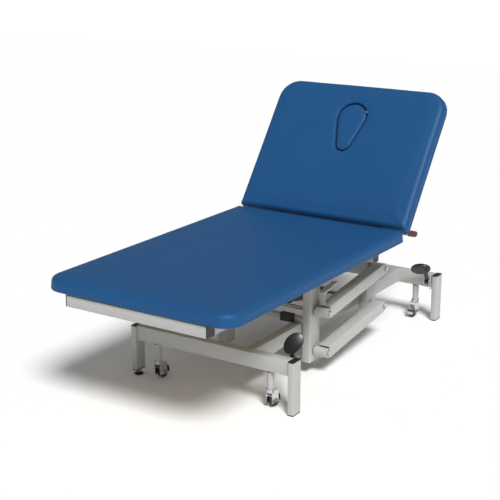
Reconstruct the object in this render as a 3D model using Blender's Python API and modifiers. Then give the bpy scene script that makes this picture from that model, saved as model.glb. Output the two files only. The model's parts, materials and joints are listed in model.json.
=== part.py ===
"""Two-section treatment table on a parallel-arm lifting base.

X runs across the table, +Y runs from the foot end to the head end, +Z is up.
The origin is on the floor, under the middle of the whole table.
"""
import math

import bmesh
import bpy
from mathutils import Matrix, Vector

# Driving dimensions, in metres.
GAP = 0.0003                 # between faces that touch
RUN_CLEARANCE = 0.0003       # radial, between a pin and its hole

TOP_WIDTH = 0.820
SEAT_LENGTH = 1.276
BACK_LENGTH = 0.650
PAD_THICKNESS = 0.058
BOARD_THICKNESS = 0.012
BOARD_INSET = 0.030
PAD_TOP_ROUND = 0.020
PAD_BOTTOM_ROUND = 0.004
FOOT_CORNER = 0.075
HEAD_CORNER = 0.095
HINGE_CORNER = 0.030

BASE_WIDTH = 0.747
BASE_LENGTH = 1.297
LEG_HEIGHT = 0.212
LEG_X = 0.025
LEG_Y = 0.055
TUBE_WALL = 0.0025
TUBE_CORNER = 0.003
CAP_THICKNESS = 0.004
CAP_DEPTH = 0.014
CROSS_BEAM_HEIGHT = 0.060
CROSS_BEAM_DEPTH = 0.040
LONG_BEAM_X = 0.161
LONG_BEAM_WIDTH = 0.040
LONG_BEAM_HEIGHT = 0.060

POST_OUTER_X = 0.220
POST_DEPTH = 0.080
HANG_POST_CLEARANCE = 0.005
HANG_POST_BOTTOM = 0.050
BASE_POST_BOTTOM = 0.095
BASE_POST_TOP = 0.368
FRONT_PIVOT_OFFSET = -0.228  # from the middle of the base
REAR_PIVOT_OFFSET = 0.257
FRONT_LOWER_PIVOT_Z = 0.094
REAR_LOWER_PIVOT_Z = 0.154
PIVOT_SPACING = 0.1675
PIVOT_RADIUS = 0.008
BOSS_RADIUS = 0.020
BOSS_START_X = 0.2235
ARM_START_X = 0.235
ARM_SIZE = 0.050
BOLT_HEAD_RADIUS = 0.012
BOLT_HEAD_LENGTH = 0.007
BOSS_FILLET = 0.0015

RAIL_BOTTOM_Z = 0.429
RAIL_HEIGHT = 0.044
FOOT_RAIL_DEPTH = 0.046
FOOT_RAIL_SETBACK = 0.012
FRAME_WIDTH = 0.612
SIDE_RAIL_WIDTH = 0.030
REAR_TUBE_SIZE = 0.040
REAR_TUBE_SETBACK = 0.040
POST_TUBE_SIZE = 0.022
POST_TUBE_CLEARANCE = 0.002
POST_TUBE_FORWARD = 0.029    # from the front pivots towards the foot end

STRAP_INSET = 0.001
STRAP_WIDTH = 0.024
STRAP_THICKNESS = 0.006
STRAP_HEIGHT = 0.080
STRAP_LENGTH = 0.110
STRAP_RISE = 0.004
STRAP_BEND_DROP = 0.018
STRAP_BEND_RUN = 0.020

HINGE_OFFSET = 0.178
HINGE_DEPTH = 0.021          # below the top of the cushions
HINGE_GAP = 0.0065           # from the axis to each cushion
LUG_THICKNESS = 0.006
LUG_RADIUS = 0.006
LUG_PIN_RADIUS = 0.003
LUG_PIN_LENGTH = 0.0156
LUG_ROOT = 0.050
LUG_EDGE = 0.004
LUG_SETBACK = 0.0005
LUG_SIDE_GAP = 0.0015
BACK_LUG_ROOT = 0.035
RAIL_LUG_STEP = 0.0007
BACK_ANGLE = math.radians(53.5)
BACK_RAIL_HEIGHT = 0.025
BACK_RAIL_LENGTH = 0.480
BACK_RAIL_START = 0.016
BACK_RAIL_WALL = 0.002

PLUG_WIDE_RADIUS = 0.068
PLUG_NARROW_RADIUS = 0.036
PLUG_WIDE_FROM_HINGE = 0.486
PLUG_LENGTH = 0.228
PLUG_CLEARANCE = 0.0008
PLUG_ROUND = 0.006
CUT_REACH = 0.020            # how far a cutter runs past a face

STRUT_X = 0.150
STRUT_FOOT_BEHIND = 0.064
STRUT_FOOT_BELOW = 0.113
STRUT_HEAD_ALONG = 0.396
STRUT_HEAD_BELOW = 0.072
STRUT_TUBE_RADIUS = 0.011
STRUT_ROD_RADIUS = 0.005
STRUT_TUBE_LENGTH = 0.230
STRUT_LUG_GAP = 0.0145
STRUT_LUG_THICKNESS = 0.004
STRUT_LUG_REACH = 0.013
STRUT_PIN_RADIUS = 0.004
STRUT_EYE_HALF_WIDTH = 0.007
STRUT_EYE_HALF_HEIGHT = 0.009
STRUT_EYE_END = 0.020
STRUT_BORE_START = 0.040
STRUT_ROD_START = 0.160
STRUT_HEAD_HALF_WIDTH = 0.008
STRUT_HEAD_SETBACK = 0.002
STRUT_HEAD_LENGTH = 0.018

LEVER_ALONG = 0.030
LEVER_LENGTH = 0.118
LEVER_WIDTH = 0.022
LEVER_THICKNESS = 0.004
LEVER_HUB_RADIUS = 0.008
LEVER_HUB_LENGTH = 0.024
LEVER_HUB_CLEARANCE = 0.0005

ACTUATOR_PIVOT_OFFSET = 0.220
ACTUATOR_RADIUS = 0.023
ACTUATOR_ROD_RADIUS = 0.010
ACTUATOR_BODY_END = 0.300
ACTUATOR_FREE_ALONG = 0.008
ACTUATOR_FREE_ACROSS = 0.016
ACTUATOR_EYE_WALL = 0.0045
ACTUATOR_EYE_WIDTH = 0.018
ACTUATOR_EYE_NECK = 0.009
ACTUATOR_BODY_START = 0.022
ACTUATOR_FORK_HALF = 0.016
ACTUATOR_FORK_LENGTH = 0.040
ACTUATOR_BORE_START = 0.110
ACTUATOR_ROD_START = 0.115
MOTOR_ALONG = 0.075
MOTOR_RADIUS = 0.021
MOTOR_LENGTH = 0.105

CASTOR_X = 0.260
CASTOR_POST_RADIUS = 0.0135
CASTOR_POST_BOTTOM = 0.079
CASTOR_TRAIL = 0.024
WHEEL_RADIUS = 0.025
WHEEL_WIDTH = 0.020
WHEEL_FLOOR_GAP = 0.0025
AXLE_RADIUS = 0.004
FORK_CHEEK = 0.0025
CARRIER_HEIGHT = 0.016
CARRIER_LIFT = 0.013         # travel left for the castors, above the beam's floor
CARRIER_END = 0.004          # past each castor post
CROWN_RADIUS = 0.017
CROWN_HEIGHT = 0.0145
CHEEK_TOP = 0.010            # below the swivel
CHEEK_END = 0.010            # past the swivel and the axle
CHEEK_BELOW_AXLE = 0.009
CHEEK_TAIL_RADIUS = 0.008
CHEEK_CLEARANCE = 0.0015
TREAD_ROUND = 0.003

PEDAL_X = 0.330
PEDAL_LONG = 0.045
PEDAL_SHORT = 0.032
PEDAL_THICKNESS = 0.012
PEDAL_HUB_RADIUS = 0.012
PEDAL_HUB_LENGTH = 0.020
PEDAL_PIN_RADIUS = 0.004
PEDAL_PIN_END = 0.006
PEDAL_HUB_Z = 0.182
PEDAL_HUB_CLEARANCE = 0.0005
PEDAL_RIM_ROUND = 0.004
PEDAL_ARM_WIDTH = 0.016
PEDAL_ARM_THICKNESS = 0.006
PEDAL_LUG_GAP = 0.002
PEDAL_LUG_THICKNESS = 0.003
PEDAL_LUG_HALF_HEIGHT = 0.011
FRONT_PAD_OFFSET = -0.576    # from the middle of the base
FRONT_PAD_Z = 0.256
REAR_PAD_OFFSET = 0.555
REAR_PAD_Z = 0.246
REAR_PAD_INWARD = 0.020

LEVEL_FOOT_HEIGHT = 0.0217
LEVEL_DISC_RADIUS = 0.0185
LEVEL_DISC_HEIGHT = 0.008
LEVEL_DISC_ROUND = 0.003
LEVEL_STEM_RADIUS = 0.005
LEVEL_STEM_START = 0.004
LEVEL_STEM_TOP = 0.070

# Values that follow from the driving dimensions.
PAD_BOTTOM_Z = RAIL_BOTTOM_Z + RAIL_HEIGHT + GAP
PAD_TOP_Z = PAD_BOTTOM_Z + PAD_THICKNESS
HINGE_Z = PAD_TOP_Z - HINGE_DEPTH
BACK_FACE = HINGE_DEPTH
BACK_UNDER = HINGE_DEPTH - PAD_THICKNESS
BACK_END = HINGE_GAP + BACK_LENGTH
FOOT_OFFSET = HINGE_OFFSET - HINGE_GAP - SEAT_LENGTH
BACK_REACH = (
    (BACK_END - PAD_BOTTOM_ROUND) * math.cos(BACK_ANGLE)
    - (BACK_UNDER + PAD_BOTTOM_ROUND) * math.sin(BACK_ANGLE)
    + PAD_BOTTOM_ROUND
)
HEAD_OFFSET = max(BASE_LENGTH / 2, HINGE_OFFSET + BACK_REACH)
BASE_Y = -(FOOT_OFFSET + HEAD_OFFSET) / 2
HINGE_Y = BASE_Y + HINGE_OFFSET
FOOT_Y = BASE_Y + FOOT_OFFSET
FRONT_PIVOT_Y = BASE_Y + FRONT_PIVOT_OFFSET
REAR_PIVOT_Y = BASE_Y + REAR_PIVOT_OFFSET
FRONT_UPPER_PIVOT_Z = FRONT_LOWER_PIVOT_Z + PIVOT_SPACING
REAR_UPPER_PIVOT_Z = REAR_LOWER_PIVOT_Z + PIVOT_SPACING
ARM_RUN = REAR_PIVOT_OFFSET - FRONT_PIVOT_OFFSET
ARM_RISE = REAR_LOWER_PIVOT_Z - FRONT_LOWER_PIVOT_Z
ARM_LENGTH = math.hypot(ARM_RUN, ARM_RISE)
ARM_ANGLE = math.atan2(ARM_RISE, ARM_RUN)
ARM_END_X = ARM_START_X + ARM_SIZE
SHAFT_END_X = ARM_END_X + GAP
LONG_BEAM_OUTER = LONG_BEAM_X + LONG_BEAM_WIDTH / 2
BASE_POST_INNER = LONG_BEAM_OUTER + GAP
HANG_POST_INNER = LONG_BEAM_OUTER + HANG_POST_CLEARANCE
BEAM_Y = BASE_LENGTH / 2 - LEG_Y / 2
BEAM_BOTTOM_Z = LEG_HEIGHT - CROSS_BEAM_HEIGHT
WHEEL_Z = WHEEL_RADIUS + WHEEL_FLOOR_GAP

for old in list(bpy.data.objects):
    bpy.data.objects.remove(old, do_unlink=True)

table = bpy.data.collections.new("medical_exam_table")
cutters = bpy.data.collections.new("cutters")
for group in (table, cutters):
    bpy.context.scene.collection.children.link(group)


def finish_material(name, colour, roughness, metallic=0.0):
    """A plain Principled material."""
    material = bpy.data.materials.new(name)
    material.use_nodes = True
    shader = material.node_tree.nodes["Principled BSDF"]
    shader.inputs["Base Color"].default_value = (*colour, 1.0)
    shader.inputs["Roughness"].default_value = roughness
    shader.inputs["Metallic"].default_value = metallic
    return material


FRAME_PAINT = (0.44, 0.44, 0.43), 0.45
STEEL = (0.55, 0.55, 0.56), 0.30, 1.0
CHROME = (0.70, 0.70, 0.72), 0.12, 1.0
BLACK_PLASTIC = (0.012, 0.012, 0.013), 0.45
BLUE_VINYL = (0.018, 0.090, 0.235), 0.50
PLYWOOD = (0.52, 0.36, 0.20), 0.60
TYRE_BLACK = (0.010, 0.010, 0.010), 0.60


def axis_empty(name, place, rotation_x=0.0):
    """An empty on a joint's axis; its children's shapes are given about it."""
    empty = bpy.data.objects.new(name, None)
    empty.empty_display_size = 0.05
    table.objects.link(empty)
    empty.location = place
    empty.rotation_euler.x = rotation_x
    return empty


def box(low, high):
    """A block between two corners."""
    shape = bmesh.new()
    size = Vector(high) - Vector(low)
    middle = (Vector(high) + Vector(low)) / 2
    bmesh.ops.create_cube(shape, size=1.0, matrix=Matrix.Translation(middle) @ Matrix.Diagonal((*size, 1.0)))
    return shape


def rod(axis, start, end, centre, radius, sides=24):
    """A round bar along X, Y or Z, from start to end, at the other two coordinates."""
    shape = bmesh.new()
    turn = {"X": Matrix.Rotation(math.pi / 2, 4, "Y"), "Y": Matrix.Rotation(math.pi / 2, 4, "X"),
            "Z": Matrix.Identity(4)}[axis]
    along = (start + end) / 2
    first, second = centre
    middle = {"X": (along, first, second), "Y": (first, along, second), "Z": (first, second, along)}[axis]
    bmesh.ops.create_cone(shape, cap_ends=True, segments=sides, radius1=radius, radius2=radius,
                          depth=abs(end - start), matrix=Matrix.Translation(middle) @ turn)
    return shape


def edges_along(shape, axis):
    """The edges that run along one axis."""
    index = "XYZ".index(axis)
    found = []
    for edge in shape.edges:
        run = edge.verts[1].co - edge.verts[0].co
        if abs(run[index]) > 0.999 * run.length:
            found.append(edge)
    return found


def round_edges(shape, edges, radius, segments=2):
    """Round the given edges."""
    bmesh.ops.bevel(shape, geom=edges, offset=radius, offset_type="OFFSET", segments=segments,
                    profile=0.5, affect="EDGES", clamp_overlap=True)


def edges_at(shape, axis, value):
    """The edges that lie in a plane across an axis."""
    index = "XYZ".index(axis)
    return [edge for edge in shape.edges if all(abs(v.co[index] - value) < 1e-6 for v in edge.verts)]


def add_object(name, shape, group, parent):
    """Turn a shape into an object that hangs on its parent's axis."""
    mesh = bpy.data.meshes.new(name)
    bmesh.ops.recalc_face_normals(shape, faces=shape.faces)
    shape.to_mesh(mesh)
    shape.free()
    item = bpy.data.objects.new(name, mesh)
    group.objects.link(item)
    if parent:
        item.parent = parent
    return item


def piece(name, shape, finish, parent=None):
    """A named solid of the table with its own material."""
    item = add_object(name, shape, table, parent)
    item.data.materials.append(finish_material(name, *finish))
    item.data.shade_smooth()
    item.data.set_sharp_from_angle(angle=math.radians(35))
    return item


def combine(item, shape, operation):
    """Cut a shape out of a piece, or weld it on."""
    tool = add_object(f"{item.name}_{operation.lower()}_{len(item.modifiers)}", shape, cutters, item.parent)
    tool.hide_render = True
    tool.display_type = "WIRE"
    step = item.modifiers.new(operation.title(), "BOOLEAN")
    step.operation = operation
    step.object = tool
    step.solver = "EXACT"


def cut(item, shape):
    combine(item, shape, "DIFFERENCE")


def weld(item, shape):
    combine(item, shape, "UNION")


def box_tube(name, low, high, axis, finish, parent=None, wall=TUBE_WALL, corner=TUBE_CORNER):
    """A rectangular steel tube, open at both ends, with rounded corners."""
    shape = box(low, high)
    index = "XYZ".index(axis)
    ends = [face for face in shape.faces if abs(face.normal[index]) > 0.9]
    bmesh.ops.delete(shape, geom=ends, context="FACES_ONLY")
    round_edges(shape, edges_along(shape, axis), corner)
    tube = piece(name, shape, finish, parent)
    skin = tube.modifiers.new("Wall", "SOLIDIFY")
    skin.thickness = wall
    skin.offset = -1.0
    skin.use_even_offset = True
    return tube


def side_pair(name):
    """The names and X signs of a left and a right piece."""
    return ((f"{name}_left", -1), (f"{name}_right", 1))


def spans(sign, inner, outer):
    """The X range of a piece on one side."""
    return (inner, outer) if sign > 0 else (-outer, -inner)


# --- Base frame: two cross beams, two long beams, four legs with caps and pads ---
def make_cross_beam(name, end):
    centre = BASE_Y + end * BEAM_Y
    half = BASE_WIDTH / 2 - LEG_X - GAP
    beam = box_tube(name, (-half, centre - CROSS_BEAM_DEPTH / 2, BEAM_BOTTOM_Z),
                    (half, centre + CROSS_BEAM_DEPTH / 2, LEG_HEIGHT), "X", FRAME_PAINT)
    for sign in (-1, 1):
        cut(beam, rod("Z", BEAM_BOTTOM_Z - 0.01, BEAM_BOTTOM_Z + 0.01, (sign * CASTOR_X, centre),
                      CASTOR_POST_RADIUS + RUN_CLEARANCE))
    face = centre - end * CROSS_BEAM_DEPTH / 2
    pin_y = face - end * (PEDAL_HUB_RADIUS + PEDAL_HUB_CLEARANCE)
    lug_half = PEDAL_LUG_THICKNESS / 2
    for sign in (-1, 1):
        lug_x = PEDAL_X + sign * (PEDAL_HUB_LENGTH / 2 + PEDAL_LUG_GAP)
        lug_y = sorted((face + end * TUBE_WALL / 2, pin_y - end * PEDAL_HUB_RADIUS))
        lug = box((lug_x - lug_half, lug_y[0], PEDAL_HUB_Z - PEDAL_LUG_HALF_HEIGHT),
                  (lug_x + lug_half, lug_y[1], PEDAL_HUB_Z + PEDAL_LUG_HALF_HEIGHT))
        weld(beam, lug)
    reach = PEDAL_HUB_LENGTH
    hole = PEDAL_PIN_RADIUS + RUN_CLEARANCE
    cut(beam, rod("X", PEDAL_X - reach, PEDAL_X + reach, (pin_y, PEDAL_HUB_Z), hole, 16))
    return pin_y


FRONT_PEDAL_Y = make_cross_beam("front_cross_beam", -1)
REAR_PEDAL_Y = make_cross_beam("rear_cross_beam", 1)

long_half = BEAM_Y - CROSS_BEAM_DEPTH / 2 - GAP
ACTUATOR_PIVOT_Y = BASE_Y + ACTUATOR_PIVOT_OFFSET
ACTUATOR_PIVOT_Z = LEG_HEIGHT - LONG_BEAM_HEIGHT / 2
for beam_name, sign in side_pair("long_beam"):
    x_low, x_high = spans(sign, LONG_BEAM_X - LONG_BEAM_WIDTH / 2, LONG_BEAM_OUTER)
    box_tube(beam_name, (x_low, BASE_Y - long_half, LEG_HEIGHT - LONG_BEAM_HEIGHT),
             (x_high, BASE_Y + long_half, LEG_HEIGHT), "Y", FRAME_PAINT)
bar_half = LONG_BEAM_X - LONG_BEAM_WIDTH / 2 - GAP
pivot_bar = rod("X", -bar_half, bar_half, (ACTUATOR_PIVOT_Y, ACTUATOR_PIVOT_Z), PIVOT_RADIUS)
piece("actuator_pivot_bar", pivot_bar, STEEL)


def plug_cap(name, centre_x, centre_y, plate_low, plate_high, spigot_end, hole=0.0):
    """A moulded end plug: a plate as wide as the tube and a spigot that fills its bore."""
    half_x = LEG_X / 2
    half_y = LEG_Y / 2
    plate = box((centre_x - half_x, centre_y - half_y, plate_low),
                (centre_x + half_x, centre_y + half_y, plate_high))
    round_edges(plate, edges_along(plate, "Z"), TUBE_CORNER)
    cap = piece(name, plate, BLACK_PLASTIC)
    inset = TUBE_WALL + GAP
    z_range = sorted((spigot_end, (plate_low + plate_high) / 2))
    weld(cap, box((centre_x - half_x + inset, centre_y - half_y + inset, z_range[0]),
                  (centre_x + half_x - inset, centre_y + half_y - inset, z_range[1])))
    if hole:
        cut(cap, rod("Z", plate_low - 0.05, plate_high + 0.05, (centre_x, centre_y), hole, 16))


LEGS = (("front_left", -1, -1), ("front_right", 1, -1), ("rear_left", -1, 1), ("rear_right", 1, 1))
for corner_name, side, end in LEGS:
    leg_x = side * (BASE_WIDTH - LEG_X) / 2
    leg_y = BASE_Y + end * BEAM_Y
    levelled = corner_name == "front_left"
    sole = LEVEL_FOOT_HEIGHT if levelled else 0.0
    foot = sole + CAP_THICKNESS
    cap_z = LEG_HEIGHT - CAP_THICKNESS
    box_tube(f"leg_{corner_name}", (leg_x - LEG_X / 2, leg_y - LEG_Y / 2, foot + GAP),
             (leg_x + LEG_X / 2, leg_y + LEG_Y / 2, cap_z - GAP), "Z", FRAME_PAINT)
    plug_cap(f"leg_cap_{corner_name}", leg_x, leg_y, cap_z, LEG_HEIGHT, cap_z - CAP_DEPTH)
    stem_hole = LEVEL_STEM_RADIUS + RUN_CLEARANCE if levelled else 0.0
    plug_cap(f"foot_pad_{corner_name}", leg_x, leg_y, sole, foot, foot + CAP_DEPTH, stem_hole)

level_x = -(BASE_WIDTH - LEG_X) / 2
level_y = BASE_Y - BEAM_Y
level_axis = axis_empty("levelling_axis", (level_x, level_y, 0.0))
disc = rod("Z", 0.0, LEVEL_DISC_HEIGHT, (0.0, 0.0), LEVEL_DISC_RADIUS, 32)
round_edges(disc, edges_at(disc, "Z", LEVEL_DISC_HEIGHT), LEVEL_DISC_ROUND)
levelling_foot = piece("levelling_foot", disc, BLACK_PLASTIC, level_axis)
weld(levelling_foot, rod("Z", LEVEL_STEM_START, LEVEL_STEM_TOP, (0.0, 0.0), LEVEL_STEM_RADIUS, 16))


# --- Posts: the rear pair stands on the base, the front pair hangs from the top frame ---
def make_post(name, sign, inner, y_middle, low, high, parent, origin, lower_pin_z, upper_hole_z):
    """A post with a pivot bolt near its foot and a shaft hole above, given about the origin."""
    x_low, x_high = spans(sign, inner, POST_OUTER_X)
    low_corner = Vector((x_low, y_middle - POST_DEPTH / 2, low)) - origin
    high_corner = Vector((x_high, y_middle + POST_DEPTH / 2, high)) - origin
    post = box_tube(name, low_corner, high_corner, "Z", FRAME_PAINT, parent)
    pin_x = spans(sign, inner + TUBE_WALL / 2, SHAFT_END_X + BOLT_HEAD_LENGTH / 2)
    pin_centre = (y_middle - origin.y, lower_pin_z - origin.z)
    weld(post, rod("X", pin_x[0], pin_x[1], pin_centre, PIVOT_RADIUS))
    head_x = spans(sign, SHAFT_END_X, SHAFT_END_X + BOLT_HEAD_LENGTH)
    weld(post, rod("X", head_x[0], head_x[1], pin_centre, BOLT_HEAD_RADIUS, 6))
    hole_x = spans(sign, inner - 0.01, POST_OUTER_X + 0.01)
    cut(post, rod("X", hole_x[0], hole_x[1], (y_middle - origin.y, upper_hole_z - origin.z),
                  PIVOT_RADIUS + RUN_CLEARANCE))


def make_shaft(name, place, parent=None):
    """A through shaft with a hexagon head at each end."""
    reach = SHAFT_END_X + BOLT_HEAD_LENGTH / 2
    shaft = piece(name, rod("X", -reach, reach, place, PIVOT_RADIUS), STEEL, parent)
    for sign in (-1, 1):
        head_x = spans(sign, SHAFT_END_X, SHAFT_END_X + BOLT_HEAD_LENGTH)
        weld(shaft, rod("X", head_x[0], head_x[1], place, BOLT_HEAD_RADIUS, 6))


for post_name, sign in side_pair("base_post"):
    make_post(post_name, sign, BASE_POST_INNER, REAR_PIVOT_Y, BASE_POST_BOTTOM, BASE_POST_TOP,
              None, Vector(), REAR_LOWER_PIVOT_Z, REAR_UPPER_PIVOT_Z)
make_shaft("rear_upper_shaft", (REAR_PIVOT_Y, REAR_UPPER_PIVOT_Z))

TOP_ORIGIN = Vector((0.0, FRONT_PIVOT_Y, FRONT_UPPER_PIVOT_Z))
top_axis = axis_empty("top_frame_axis", TOP_ORIGIN)


def on_top(point):
    """A world point, given about the top frame's axis."""
    return Vector(point) - TOP_ORIGIN


for post_name, sign in side_pair("hang_post"):
    make_post(post_name, sign, HANG_POST_INNER, FRONT_PIVOT_Y, HANG_POST_BOTTOM, RAIL_BOTTOM_Z - GAP,
              top_axis, TOP_ORIGIN, FRONT_LOWER_PIVOT_Z, FRONT_UPPER_PIVOT_Z)
make_shaft("front_upper_shaft", (0.0, 0.0), top_axis)


# --- Lifting arms, drawn level about their rear pivots and turned to their rest slope ---
def make_arm(name, sign, parent, strap):
    x_low, x_high = spans(sign, ARM_START_X, ARM_END_X)
    boss_x = spans(sign, BOSS_START_X, ARM_END_X)
    end_gap = PIVOT_RADIUS + 0.002
    arm = box_tube(name, (x_low, -ARM_LENGTH + end_gap, -ARM_SIZE / 2), (x_high, -end_gap, ARM_SIZE / 2),
                   "Y", FRAME_PAINT, parent)
    for along in (0.0, -ARM_LENGTH):
        boss = rod("X", boss_x[0], boss_x[1], (along, 0.0), BOSS_RADIUS, 28)
        round_edges(boss, edges_at(boss, "X", boss_x[0]) + edges_at(boss, "X", boss_x[1]), BOSS_FILLET, 1)
        weld(arm, boss)
    if strap:
        weld(arm, strap_shape(sign))
    for along in (0.0, -ARM_LENGTH):
        cut(arm, rod("X", boss_x[0] - 0.01, boss_x[1] + 0.01, (along, 0.0), PIVOT_RADIUS + RUN_CLEARANCE))


def strap_shape(sign):
    """A flat bar that stands on the arm's front end and bends back over it."""
    x_low, x_high = spans(sign, ARM_START_X + STRAP_INSET, ARM_START_X + STRAP_INSET + STRAP_WIDTH)
    front = -ARM_LENGTH + BOSS_RADIUS / 2
    seat = ARM_SIZE / 2 - STRAP_INSET
    under = STRAP_HEIGHT - STRAP_THICKNESS
    outer = ((front, seat), (front, STRAP_HEIGHT), (front + STRAP_LENGTH, STRAP_HEIGHT + STRAP_RISE),
             (front + STRAP_LENGTH, under), (front + STRAP_BEND_RUN, under),
             (front + STRAP_THICKNESS, STRAP_HEIGHT - STRAP_BEND_DROP), (front + STRAP_THICKNESS, seat))
    shape = bmesh.new()
    face = shape.faces.new([shape.verts.new((x_low, y, z)) for y, z in outer])
    grown = bmesh.ops.extrude_face_region(shape, geom=[face])
    moved = [item for item in grown["geom"] if isinstance(item, bmesh.types.BMVert)]
    bmesh.ops.translate(shape, verts=moved, vec=(x_high - x_low, 0.0, 0.0))
    return shape


upper_axis = axis_empty("upper_arm_axis", (0.0, REAR_PIVOT_Y, REAR_UPPER_PIVOT_Z), ARM_ANGLE)
lower_axis = axis_empty("lower_arm_axis", (0.0, REAR_PIVOT_Y, REAR_LOWER_PIVOT_Z), ARM_ANGLE)
for arm_name, sign in side_pair("upper_arm"):
    make_arm(arm_name, sign, upper_axis, strap=True)
for arm_name, sign in side_pair("lower_arm"):
    make_arm(arm_name, sign, lower_axis, strap=False)


# --- Linear actuator between the base and the front upper shaft ---
actuator_run = FRONT_PIVOT_Y - ACTUATOR_PIVOT_Y
actuator_rise = FRONT_UPPER_PIVOT_Z - ACTUATOR_PIVOT_Z
ACTUATOR_LENGTH = math.hypot(actuator_run, actuator_rise)
ACTUATOR_ANGLE = math.atan2(actuator_rise, -actuator_run)
actuator_axis = axis_empty("actuator_axis", (0.0, ACTUATOR_PIVOT_Y, ACTUATOR_PIVOT_Z), -ACTUATOR_ANGLE)
body = rod("Y", -ACTUATOR_BODY_END, -ACTUATOR_BODY_START, (0.0, 0.0), ACTUATOR_RADIUS, 28)
actuator_body = piece("actuator_body", body, BLACK_PLASTIC, actuator_axis)
fork_half = ACTUATOR_FORK_HALF
weld(actuator_body, box((-fork_half, -ACTUATOR_FORK_LENGTH, -fork_half), (fork_half, fork_half, fork_half)))
weld(actuator_body, rod("Z", -MOTOR_LENGTH, 0.0, (0.0, -MOTOR_ALONG), MOTOR_RADIUS, 28))
cut(actuator_body, rod("X", -ACTUATOR_RADIUS, ACTUATOR_RADIUS, (0.0, 0.0), PIVOT_RADIUS + RUN_CLEARANCE))
cut(actuator_body, rod("Y", -ACTUATOR_BODY_END - ACTUATOR_RADIUS, -ACTUATOR_BORE_START, (0.0, 0.0),
                       ACTUATOR_ROD_RADIUS + RUN_CLEARANCE))

slot_low = -(ACTUATOR_LENGTH + PIVOT_RADIUS + RUN_CLEARANCE + ACTUATOR_FREE_ALONG)
slot_high = -(ACTUATOR_LENGTH - PIVOT_RADIUS - RUN_CLEARANCE)
slot_top = PIVOT_RADIUS + ACTUATOR_FREE_ACROSS
eye_high = -(ACTUATOR_LENGTH - PIVOT_RADIUS - ACTUATOR_EYE_NECK)
eye_half = ACTUATOR_EYE_WIDTH / 2
shank = rod("Y", eye_high - TUBE_WALL, -ACTUATOR_ROD_START, (0.0, 0.0), ACTUATOR_ROD_RADIUS)
actuator_rod = piece("actuator_rod", shank, STEEL, actuator_axis)
weld(actuator_rod, box((-eye_half, slot_low - ACTUATOR_EYE_WALL, -PIVOT_RADIUS - ACTUATOR_EYE_WALL),
                       (eye_half, eye_high, slot_top + ACTUATOR_EYE_WALL)))
cut(actuator_rod, box((-ACTUATOR_EYE_WIDTH, slot_low, -PIVOT_RADIUS - RUN_CLEARANCE),
                      (ACTUATOR_EYE_WIDTH, slot_high, slot_top)))


# --- Top frame ---
frame_half = FRAME_WIDTH / 2
rail_top = RAIL_BOTTOM_Z + RAIL_HEIGHT
foot_rail_low = FOOT_Y + FOOT_RAIL_SETBACK
foot_rail_high = foot_rail_low + FOOT_RAIL_DEPTH
rail_half = frame_half - CAP_THICKNESS - GAP
box_tube("foot_rail", on_top((-rail_half, foot_rail_low, RAIL_BOTTOM_Z)),
         on_top((rail_half, foot_rail_high, rail_top)), "X", FRAME_PAINT, top_axis)
for cap_name, sign in side_pair("foot_rail_cap"):
    plate_x = spans(sign, frame_half - CAP_THICKNESS, frame_half)
    plate = box(on_top((plate_x[0], foot_rail_low, RAIL_BOTTOM_Z)),
                on_top((plate_x[1], foot_rail_high, rail_top)))
    round_edges(plate, edges_along(plate, "X"), TUBE_CORNER)
    cap = piece(cap_name, plate, BLACK_PLASTIC, top_axis)
    spigot_x = spans(sign, frame_half - CAP_THICKNESS - CAP_DEPTH, frame_half - CAP_THICKNESS / 2)
    inset = TUBE_WALL + GAP
    weld(cap, box(on_top((spigot_x[0], foot_rail_low + inset, RAIL_BOTTOM_Z + inset)),
                  on_top((spigot_x[1], foot_rail_high - inset, rail_top - inset))))

side_rail_end = HINGE_Y - LUG_RADIUS - LUG_EDGE
for rail_name, sign in side_pair("side_rail"):
    x_low, x_high = spans(sign, frame_half - SIDE_RAIL_WIDTH, frame_half)
    rail = box_tube(rail_name, on_top((x_low, foot_rail_high + GAP, RAIL_BOTTOM_Z)),
                    on_top((x_high, side_rail_end, rail_top)), "Y", FRAME_PAINT, top_axis)
    lug_x = spans(sign, frame_half - LUG_THICKNESS - LUG_SETBACK, frame_half - LUG_SETBACK)
    weld(rail, box(on_top((lug_x[0], side_rail_end - LUG_ROOT, RAIL_BOTTOM_Z + LUG_EDGE)),
                   on_top((lug_x[1], HINGE_Y + LUG_RADIUS - GAP, rail_top - LUG_EDGE))))
    finger = box(on_top((lug_x[0], HINGE_Y - LUG_RADIUS, RAIL_BOTTOM_Z + LUG_RADIUS)),
                 on_top((lug_x[1], HINGE_Y + LUG_RADIUS, HINGE_Z)))
    weld(rail, finger)
    weld(rail, rod("X", lug_x[0], lug_x[1], on_top((0.0, HINGE_Y, HINGE_Z)).yz, LUG_RADIUS))
    pin_x = spans(sign, frame_half - LUG_PIN_LENGTH, frame_half - LUG_THICKNESS / 2)
    weld(rail, rod("X", pin_x[0], pin_x[1], on_top((0.0, HINGE_Y, HINGE_Z)).yz, LUG_PIN_RADIUS, 16))

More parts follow.
